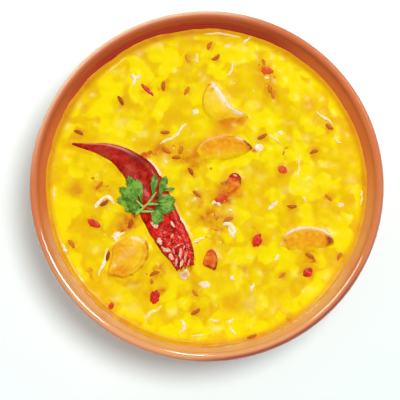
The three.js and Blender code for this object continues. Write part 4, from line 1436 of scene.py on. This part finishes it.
def chilli_top(x, y, margin):
    """Top of a chilli that is wider by a margin, or the dal's level beside it."""
    top = DAL_LEVEL
    for station in chilli_samples:
        reach = math.hypot(x - station.x, y - station.y) / (station.z + margin)
        if reach < 1:
            rise = chilli_half_height(station.z) * math.sqrt(1 - reach * reach)
            top = max(top, CHILLI_MIDDLE_Z + rise)
    return top


# Seeds and pale fibres on the lower pod: x, y, length, width, turn and how red.
CHILLI_BITS = [
    (-24.4, -18.8, 4.2, 1.9, -35, 0.1), (-15.8, -18.6, 3, 1.1, -58, 0), (-22, -26.4, 3, 2.1, -65, 0.1),
    (-18.7, -30.5, 3.6, 1.7, -10, 0.1), (-16.6, -33.8, 3.6, 1.7, -50, 0.2),
    (-12.2, -32, 4.4, 1.4, 84, 0.25), (-9.9, -33.6, 5, 1.1, 80, 0.5), (-16.2, -24, 2, 1.1, 60, 0.5),
    (-13.6, -28.6, 3.6, 0.8, 30, 0.6), (-14.2, -36.2, 3.4, 1.2, 80, 0.4),
    (-19.6, -22.4, 1.5, 0.9, 10, 0.6), (-11.6, -36.6, 3.4, 1.3, 75, 0.15),
    (-8.4, -36.4, 3.6, 1, 70, 0.6), (-15.4, -31, 2.6, 0.8, -70, 0.5), (-17.6, -27.6, 1.8, 0.8, 40, 0.6),
    (-12.8, -24.6, 1.6, 0.9, -30, 0.7), (-20.6, -29.4, 1.6, 0.9, -60, 0.3),
    (-10.6, -29.4, 2.4, 0.7, 60, 0.7),
]
CHILLI_BIT_THICKNESS = 0.55
CHILLI_BIT_ROUGHNESS = 0.5
CHILLI_BIT_LIFT = 0.3
CHILLI_BIT_LEAN = 0.2


def make_chilli_seeds():
    """Pale seeds and fibres stuck to the lower pod."""
    draw = random.Random(31)
    for x, y, length, width, degrees, redness in CHILLI_BITS:
        seed = ball(SCRAP_DETAIL)
        blush = layer(seed, "blush")
        shift = noise_place(draw)
        lean = draw.uniform(-CHILLI_BIT_LEAN, CHILLI_BIT_LEAN)
        across, along = math.sin(math.radians(degrees)), math.cos(math.radians(degrees))
        for vert in seed.verts:
            rough = 1 + CHILLI_BIT_ROUGHNESS * noise.noise(vert.co * 1.6 + shift)
            u, v = vert.co.x * length / 2 * rough, vert.co.y * width / 2 * rough
            px, py = x + u * along - v * across, y + u * across + v * along
            vert[blush] = min(1.0, redness * (1 + noise.noise(vert.co * 2.0 + shift)))
            lift = vert.co.z * CHILLI_BIT_THICKNESS / 2 + v * lean + CHILLI_BIT_LIFT
            vert.co = (px, py, chilli_top(px, py, CHILLI_BIT_LIFT) + lift)
        yield seed


# ---- The coriander sprig ----

LOBE_STEPS = 22
LOBE_WIDTH_STEPS = 14
BLADE_THICKNESS = 0.28
LEAF_CLEARANCE = 0.5
LEAF_MARGIN = 4.0
LEAF_RIPPLE = 0.25
LEAF_RIPPLE_TURN = (0.9, 0.5)
LOBE_NECK = 0.16  # width at the base, as a share
LOBE_SHOULDER = (0.06, 0.68)  # the blade widens between these shares of its length
LOBE_TAPER = (0.62, 0.76)  # where it starts to narrow, and its width at the tip
LOBE_NOTCH = (0.13, 0.16)  # between the teeth, and towards the sides
LOBE_FULL_LENGTH = 1.04
LOBE_HALF_WIDTH = 0.46
LOBE_WAVE = 0.07
LOBE_BEND = 0.12
LOBE_CURL = 0.35
LOBE_KEEL = 0.18
LOBE_TIP_LIFT = 0.5
LOBE_LAYERS = 5
LOBE_LAYER_LIFT = 0.05
STALK_THICKNESS = (0.72, 0.4)  # at its base and its tip
STALK_LIFT = 0.35


def leaf_height(x, y):
    turn = LEAF_RIPPLE_TURN[0] * x + LEAF_RIPPLE_TURN[1] * y
    ripple = LEAF_RIPPLE * (1 + math.sin(turn))
    return max(dal_top(x, y), chilli_top(x, y, LEAF_MARGIN)) + LEAF_CLEARANCE + ripple


def make_lobe(x0, y0, x1, y1, width, order, draw):
    """A blade from its narrow base to a rounded end with three teeth."""
    bm = bmesh.new()
    bmesh.ops.create_grid(bm, x_segments=LOBE_STEPS, y_segments=LOBE_WIDTH_STEPS, size=1.0)
    along, across = layer(bm, "along"), layer(bm, "across")
    base = Vector((SPRIG_CENTRE[0] + x0, SPRIG_CENTRE[1] + y0))
    reach = Vector((x1 - x0, y1 - y0))
    forward = reach.normalized()
    left = Vector((-forward.y, forward.x))
    bend = draw.uniform(-LOBE_BEND, LOBE_BEND)
    shoulder, full = LOBE_SHOULDER
    taper_start, tip_width = LOBE_TAPER
    for vert in bm.verts:
        u, v = (vert.co.x + 1) / 2, vert.co.y
        notch = LOBE_NOTCH[0] * (1 - abs(math.cos(1.5 * math.pi * v))) + LOBE_NOTCH[1] * v * v
        spread = lerp(LOBE_NECK, 1.0, float(smooth((u - shoulder) / (full - shoulder))))
        spread *= lerp(1.0, tip_width, max(0, u - taper_start) / (1 - taper_start))
        edge = 1 + LOBE_WAVE * math.sin(11 * u + 2 * v) * abs(v) ** 3
        length = u * reach.length * (LOBE_FULL_LENGTH - notch * u * u)
        sideways = v * width * LOBE_HALF_WIDTH * spread * edge + bend * width * u * u
        flat = base + forward * length + left * sideways
        curl = LOBE_CURL * abs(v) ** 1.5 * math.sin(5 * u + 3 * bend) - LOBE_KEEL * (1 - abs(v)) ** 3
        lift = curl + LOBE_TIP_LIFT * u ** 3 + LOBE_LAYER_LIFT * order
        vert[along] = u
        vert[across] = v
        vert.co = (flat.x, flat.y, leaf_height(flat.x, flat.y) + lift)
    return bm


def make_stalk(x0, y0, x1, y1):
    bm = rod(*STALK_ROD)
    forward = Vector((x1 - x0, y1 - y0)).normalized()
    for vert in bm.verts:
        x = SPRIG_CENTRE[0] + lerp(x0, x1, vert.co.x)
        y = SPRIG_CENTRE[1] + lerp(y0, y1, vert.co.x)
        thick = lerp(*STALK_THICKNESS, vert.co.x)
        side = vert.co.y * thick
        vert.co = (x - forward.y * side, y + forward.x * side,
                   leaf_height(x, y) + STALK_LIFT + vert.co.z * thick)
    return bm


def make_leaflets():
    draw = random.Random(3)
    for order, lobe in enumerate(SPRIG_LOBES):
        yield make_lobe(*lobe, order % LOBE_LAYERS, draw)


# ---- Slices and tomato pieces ----

SLICE_SIDES = 96
SLICE_RINGS = 40
SLICE_BASE = 0.35  # how far the top lies below a plain dome where it has no ridge
SLICE_SAG = 0.35
SLICE_ROUGHNESS = (0.16, 0.05)  # coarse and fine


def spot(x, y, cx, cy, radius):
    return math.exp(-((x - cx) ** 2 + (y - cy) ** 2) / radius ** 2)


def band(line, x, y, width):
    """How close a place is to a line, 1 on it; the band is widest in the line's middle."""
    last = len(line) - 1
    away, nearest = min((math.hypot(x - point.x, y - point.y), k) for k, point in enumerate(line))
    own_width = width * (0.5 + 0.5 * math.sin(math.pi * nearest / last) ** 0.7)
    return math.exp(-(away / own_width) ** 2)


# Raised ridges of the slices: points about the slice's middle, width and height.
RIDGES = {
    "golden_slice_1": (
        [(-1.8, 10.2), (0, 8.1), (2.4, 5.3), (3.6, 2.6), (6, -0.8), (13, -4.6)], 1.5, 1.3),
    "golden_slice_2": ([(-14, -1.6), (-8.4, 3.2), (-1.4, 4.4), (5.7, 3.4), (11, 0)], 1.6, 0.9),
    "golden_slice_3": ([(6, 8.6), (9, 3.4), (6.8, -3.6), (0.6, -8.4), (-7.4, -8.2)], 1.3, 1),
    "golden_slice_4": ([(-10.7, 2.4), (-4.8, 5.4), (0.3, 6.2), (7.1, 4.9), (12, 1.2)], 1.2, 1.2),
    "tomato_piece_1": ([(-1, 3.6), (1.6, 3.6), (3.4, 1.6)], 1, 0.7),
    "tomato_piece_2": ([(-1.6, 2.2), (0.6, 2.6), (2.4, 0.6)], 1, 0.6),
}
# Tinted spots of the slices: place, radius and strength. A list of points as the place
# gives a line of that tint. The cream tint is partly the onion's pale skin and partly
# painted highlight; on the tomato it is painted highlight.
TINTS = {
    "golden_slice_1": {
        "cream": [
            ([(-2.6, 10.2), (-0.6, 8.1), (1.8, 5.3), (3.2, 2.4), (6, -0.8)], 2.1, 1.1),
            ([(5, 0.2), (8.6, -2.8), (13.2, -4.6)], 1.2, 0.9), ((-3, 3), 2.2, 0.16),
        ],
        "soaked": [((-3, 0), 5, 0.6), ((-6, -5), 3, 0.8)],
        "brown": [
            ([(-7.9, 2.6), (-7.6, 6.2), (-5.6, 9.6), (-3.6, 10.4)], 0.6, 0.6), ((-3.2, 7.8), 0.9, 0.55),
            ([(6, -6.8), (9.6, -6), (13.2, -5)], 0.7, 0.8),
        ],
        "warm": [
            ([(4, -6.2), (8.6, -5.4), (13, -4.8)], 1.3, 1), ((3, -6.6), 3.4, 0.7),
            ((9, -5.6), 2.6, 0.8), ((-8, 1), 1.6, 0.5),
        ],
    },
    "golden_slice_2": {
        "warm": [((-9, 0), 6.5, 1), ((-1, 1.6), 7, 1.1), ((7, 1), 6, 1.2)],
        "brown": [
            ([(8.2, 3), (10.6, 1.2), (12.4, -1)], 1.5, 1.3), ((11.2, -0.4), 1.6, 1),
            ([(-10.8, -3.6), (-10.8, -6)], 0.7, 0.5),
        ],
        "cream": [
            ([(4.4, 4.9), (6.8, 4), (9.2, 2.4)], 0.9, 0.9),
            ([(-13, 0.6), (-10, 3.2), (-5.4, 4.8), (0, 5.2)], 0.5, 0.4),
            ([(-4.4, 0), (-4, -3), (-4.2, -5.4)], 0.5, 0.25),
        ],
        "soaked": [
            ((-10, -6.6), 3.4, 1), ((-4, -7), 4, 1.1), ((1.6, -6.6), 4, 1.1),
            ((7, -5), 3.4, 1),
        ],
    },
    "golden_slice_3": {
        "cream": [
            ([(1.4, 9.6), (4.6, 9), (7.4, 7.6)], 1, 0.5),
            ([(-4.6, -1.6), (0, 2.4), (3.6, 6)], 1.5, 0.1), ((-6.2, -3.6), 0.8, 0.5),
        ],
        "warm": [
            ((-2, 2), 7, 0.7), ((-4.6, 6), 4, 1), ((-3, -6.6), 4.6, 1.1),
            ([(8.6, 7.4), (9.6, 2.6), (8, -3.2), (3.6, -7.6), (-2, -9)], 1.6, 1),
            ([(-7.4, 5), (-7.9, 0.6), (-9, -5.6)], 1, 0.7),
        ],
        "brown": [
            ([(8.4, 8.4), (10, 3.2), (8.4, -3), (4.6, -7), (0, -9.2)], 1.1, 0.5),
            ([(7, 5.4), (7.4, 1.6), (5.6, -2.6), (2, -5.6), (-2.6, -7)], 0.8, 0.25),
            ([(-9.6, -7.4), (-7.6, -8.2), (-4.4, -8.8)], 1.1, 0.45),
        ],
    },
    "golden_slice_4": {
        "warm": [((-6, 0), 7, 0.8), ((2, 0.6), 8, 0.9), ((8, 0), 5, 1)],
        "cream": [
            ([(-10.7, 2.6), (-4.8, 5.7), (0.3, 6.6), (7.1, 5.3), (12.2, 1.6)], 1.1, 1),
            ((-12.2, -1.8), 0.8, 0.6),
        ],
        "brown": [
            ([(9, 1.8), (11.2, 0.2), (13.2, -1.4)], 1.2, 1.2), ((11, -0.6), 1.6, 1.2),
            ([(-10.8, 1.2), (-9.2, -1.6)], 0.6, 0.35),
        ],
        "soaked": [((-4, -6), 2.4, 0.8), ((4, -5.6), 2.4, 0.8)],
    },
    "tomato_piece_1": {
        "warm": [
            ([(-1.4, 4.2), (1.6, 4.4), (4, 2.2)], 2.2, 1.3), ((1.6, 3), 2.2, 0.9),
            ((-4, -3.6), 2.4, 0.6),
        ],
        "brown": [
            ([(2.4, 4.4), (4, 2.4), (4.2, -0.4)], 0.9, 1), ((-1.6, 4), 0.8, 0.8),
            ([(-5.6, -0.2), (-3.4, 0.6), (-2, 2.2)], 0.9, 1), ((-3, 0.2), 1, 0.9),
        ],
        "cream": [([(0.4, 4), (2, 3.4)], 0.4, 0.5)],
    },
    "tomato_piece_2": {
        "warm": [
            ([(-1.6, 3.4), (0.6, 4.4), (2.4, 2.4)], 1.7, 1.2), ((-1, -3.4), 2, 0.9),
            ([(-3.2, 0.4), (-3.6, -2.6)], 0.9, 0.7),
        ],
        "brown": [
            ([(3.2, 1.8), (3.6, -1.4), (2.2, -4.8), (-0.8, -4.2)], 0.9, 1),
            ([(-1.4, 4), (0.8, 4.8), (2.8, 2.4)], 0.5, 0.6),
        ],
    },
}
LINE_STEPS = 20
SOAKED_RISE = 0.65  # flesh less than this above the dal takes on its colour
SOAKING = {"golden_onion": 0.85, "cooked_tomato": 0.5}


def tint_share(place, x, y, radius, strength):
    """How strongly a spot or a line of a tint colours a place."""
    if isinstance(place, tuple):
        return strength * spot(x, y, *place, radius)
    return strength * band(place, x, y, radius)


def make_slice(name):
    slot = "golden_onion" if name.startswith("golden") else "cooked_tomato"
    (cx, cy), outline, thickness, lift, tilt = SLICES[name]
    line, width, height = RIDGES[name]
    line = sample_line(line, LINE_STEPS)
    bm = bmesh.new()
    bmesh.ops.create_uvsphere(bm, u_segments=SLICE_SIDES, v_segments=SLICE_RINGS, radius=1.0)
    layers = {tint: layer(bm, tint) for tint in TINT_NAMES}
    tints = []
    for tint, places in TINTS[name].items():
        for place, radius, strength in places:
            place = sample_line(place, LINE_STEPS) if isinstance(place, list) else place
            tints.append((layers[tint], place, radius, strength))
    shift = Vector((cx, cy, 0))
    for vert in bm.verts:
        turn = math.atan2(vert.co.y, vert.co.x) / (2 * math.pi) % 1
        rim = spline_point(outline, turn, closed=True)
        spread = math.hypot(vert.co.x, vert.co.y) ** SLICE_FULLNESS
        upper = max(0.0, vert.co.z) ** 0.5
        x, y = rim * spread
        here = Vector((x, y, 0))
        ridge = band(line, x, y, width) * (1 + 0.5 * noise.noise(here * 0.5 + shift))
        sag = SLICE_SAG * noise.noise(here * 0.28 + shift)
        rough = SLICE_ROUGHNESS[0] * noise.noise(here * 0.6 + shift * 2)
        rough += SLICE_ROUGHNESS[1] * noise.noise(here * 1.7 + shift)
        z = vert.co.z * thickness / 2 + y * tilt[0] + x * tilt[1]
        z += upper * (ridge * height - SLICE_BASE + sag + rough)
        top = DAL_LEVEL + lift + z
        blotch = 1 + 0.7 * noise.noise(here * 0.6 + shift * 3)
        for tint, place, radius, strength in tints:
            share = blotch * tint_share(place, x, y, radius, strength)
            vert[tint] = min(1.0, max(vert[tint], share))
        over = top - dal_top(cx + x, cy + y)
        drowned = 1 - float(smooth((over + 0.3 * blotch - 0.3) / SOAKED_RISE))
        vert[layers["soaked"]] = max(vert[layers["soaked"]], SOAKING[slot] * drowned)
        vert.co = (cx + x, cy + y, top)
    add_piece(f"{name}_flesh", bm, looks[slot], slot, name)


# ---- Light, floor and camera ----

def aim(thing, place, target):
    thing.location = place
    thing.rotation_euler = (Vector(target) - Vector(place)).to_track_quat("-Z", "Y").to_euler()


# Round soft lights aimed at the bowl: name, azimuth and elevation in degrees, distance,
# size and power. Azimuth 0 is to the right and 90 at the back.
FILL_LIGHTS = [
    ("overhead_light", 11, 79.6, 1.4, 0.42, 13.8),
    ("window_light", 125, 35, 1.2, 0.5, 3.2),
]
# These show only as gleams on wet and glazed skin.
GLEAMS = [
    ("right_gleam", 46, 50, 1.1, 0.42, 14.5),
    ("back_gleam", 85, 34, 1.1, 0.22, 5.0),
    ("left_gleam", 133, 32, 1.1, 0.42, 7.0),
]
STUDIO_LIGHT = 0.22
FLOOR_SIZE = 3.0


def add_light(name, azimuth, elevation, distance, size, power):
    light = bpy.data.lights.new(name, "AREA")
    light.shape = "DISK"
    light.size = size
    light.energy = power
    lamp = place_object(name, light)
    turn, rise = math.radians(azimuth), math.radians(elevation)
    away = Vector((math.cos(turn) * math.cos(rise), math.sin(turn) * math.cos(rise), math.sin(rise)))
    middle = Vector((0, 0, DAL_LEVEL * MM))
    aim(lamp, middle + away * distance, middle)
    return lamp


def make_stage():
    bm = bmesh.new()
    bmesh.ops.create_grid(bm, x_segments=1, y_segments=1, size=FLOOR_SIZE)
    floor = mesh_object("floor", bm, floor_look())
    floor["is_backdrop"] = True


def make_lights():
    for settings in FILL_LIGHTS:
        add_light(*settings).visible_glossy = False
    bpy.data.lights["window_light"].use_shadow = False
    for settings in GLEAMS:
        add_light(*settings).visible_diffuse = False
    world = bpy.data.worlds.new("studio")
    bpy.context.scene.world = world
    world.use_nodes = True
    background = world.node_tree.nodes["Background"]
    background.inputs["Color"].default_value = (1.0, 1.0, 1.0, 1.0)
    background.inputs["Strength"].default_value = STUDIO_LIGHT


VIEW_ELEVATION = math.radians(82.3)
VIEW_DISTANCE = 0.7
VIEW_WIDTH = 0.1855  # what the frame spans at the rim
VIEW_TARGET = (-0.0031, -0.0079, BOWL_HEIGHT * MM)
SENSOR = 36.0


def make_camera():
    camera = bpy.data.cameras.new("camera")
    camera.sensor_width = SENSOR
    camera.lens = SENSOR * VIEW_DISTANCE / VIEW_WIDTH
    holder = place_object("camera", camera)
    back = Vector((0, -math.cos(VIEW_ELEVATION), math.sin(VIEW_ELEVATION))) * VIEW_DISTANCE
    aim(holder, Vector(VIEW_TARGET) + back, VIEW_TARGET)
    bpy.context.scene.camera = holder
    bpy.context.scene.view_settings.view_transform = "Standard"


make_camera()
make_lights()
make_stage()
make_bowl()
make_dal()
spice_crumbs = scatter_crumbs(SPICE_CLUSTERS, SPICE_CRUMB_SIZE, 17, "tone")
add_parts("cumin_seeds", make_cumin(), cumin_look(), "dal", "dal")
add_parts("chilli_flakes", make_flakes(), flake_look(), "dried_chilli", "dal")
add_parts("spice_crumbs", spice_crumbs, crumb_look(), "dried_chilli", "dal")
add_parts("onion_shreds", make_onion(), onion_look(), "golden_onion", "dal")
make_chilli_pod()
add_parts("chilli_seeds", make_chilli_seeds(), seed_look(), "dried_chilli", "chilli")
leaflets = add_parts("coriander_leaflets", make_leaflets(), leaf_look(), "coriander", "coriander_sprig")
thicken(leaflets, BLADE_THICKNESS)
stalks = (make_stalk(*ends) for ends in SPRIG_STALKS)
add_parts("coriander_stalks", stalks, stalk_look(), "coriander", "coriander_sprig")
looks = {"golden_onion": slice_look(), "cooked_tomato": tomato_look()}
for slice_name in SLICES:
    make_slice(slice_name)

boxes = [[list(map(float, corner)) for corner in box] for box in (cad_box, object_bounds())]
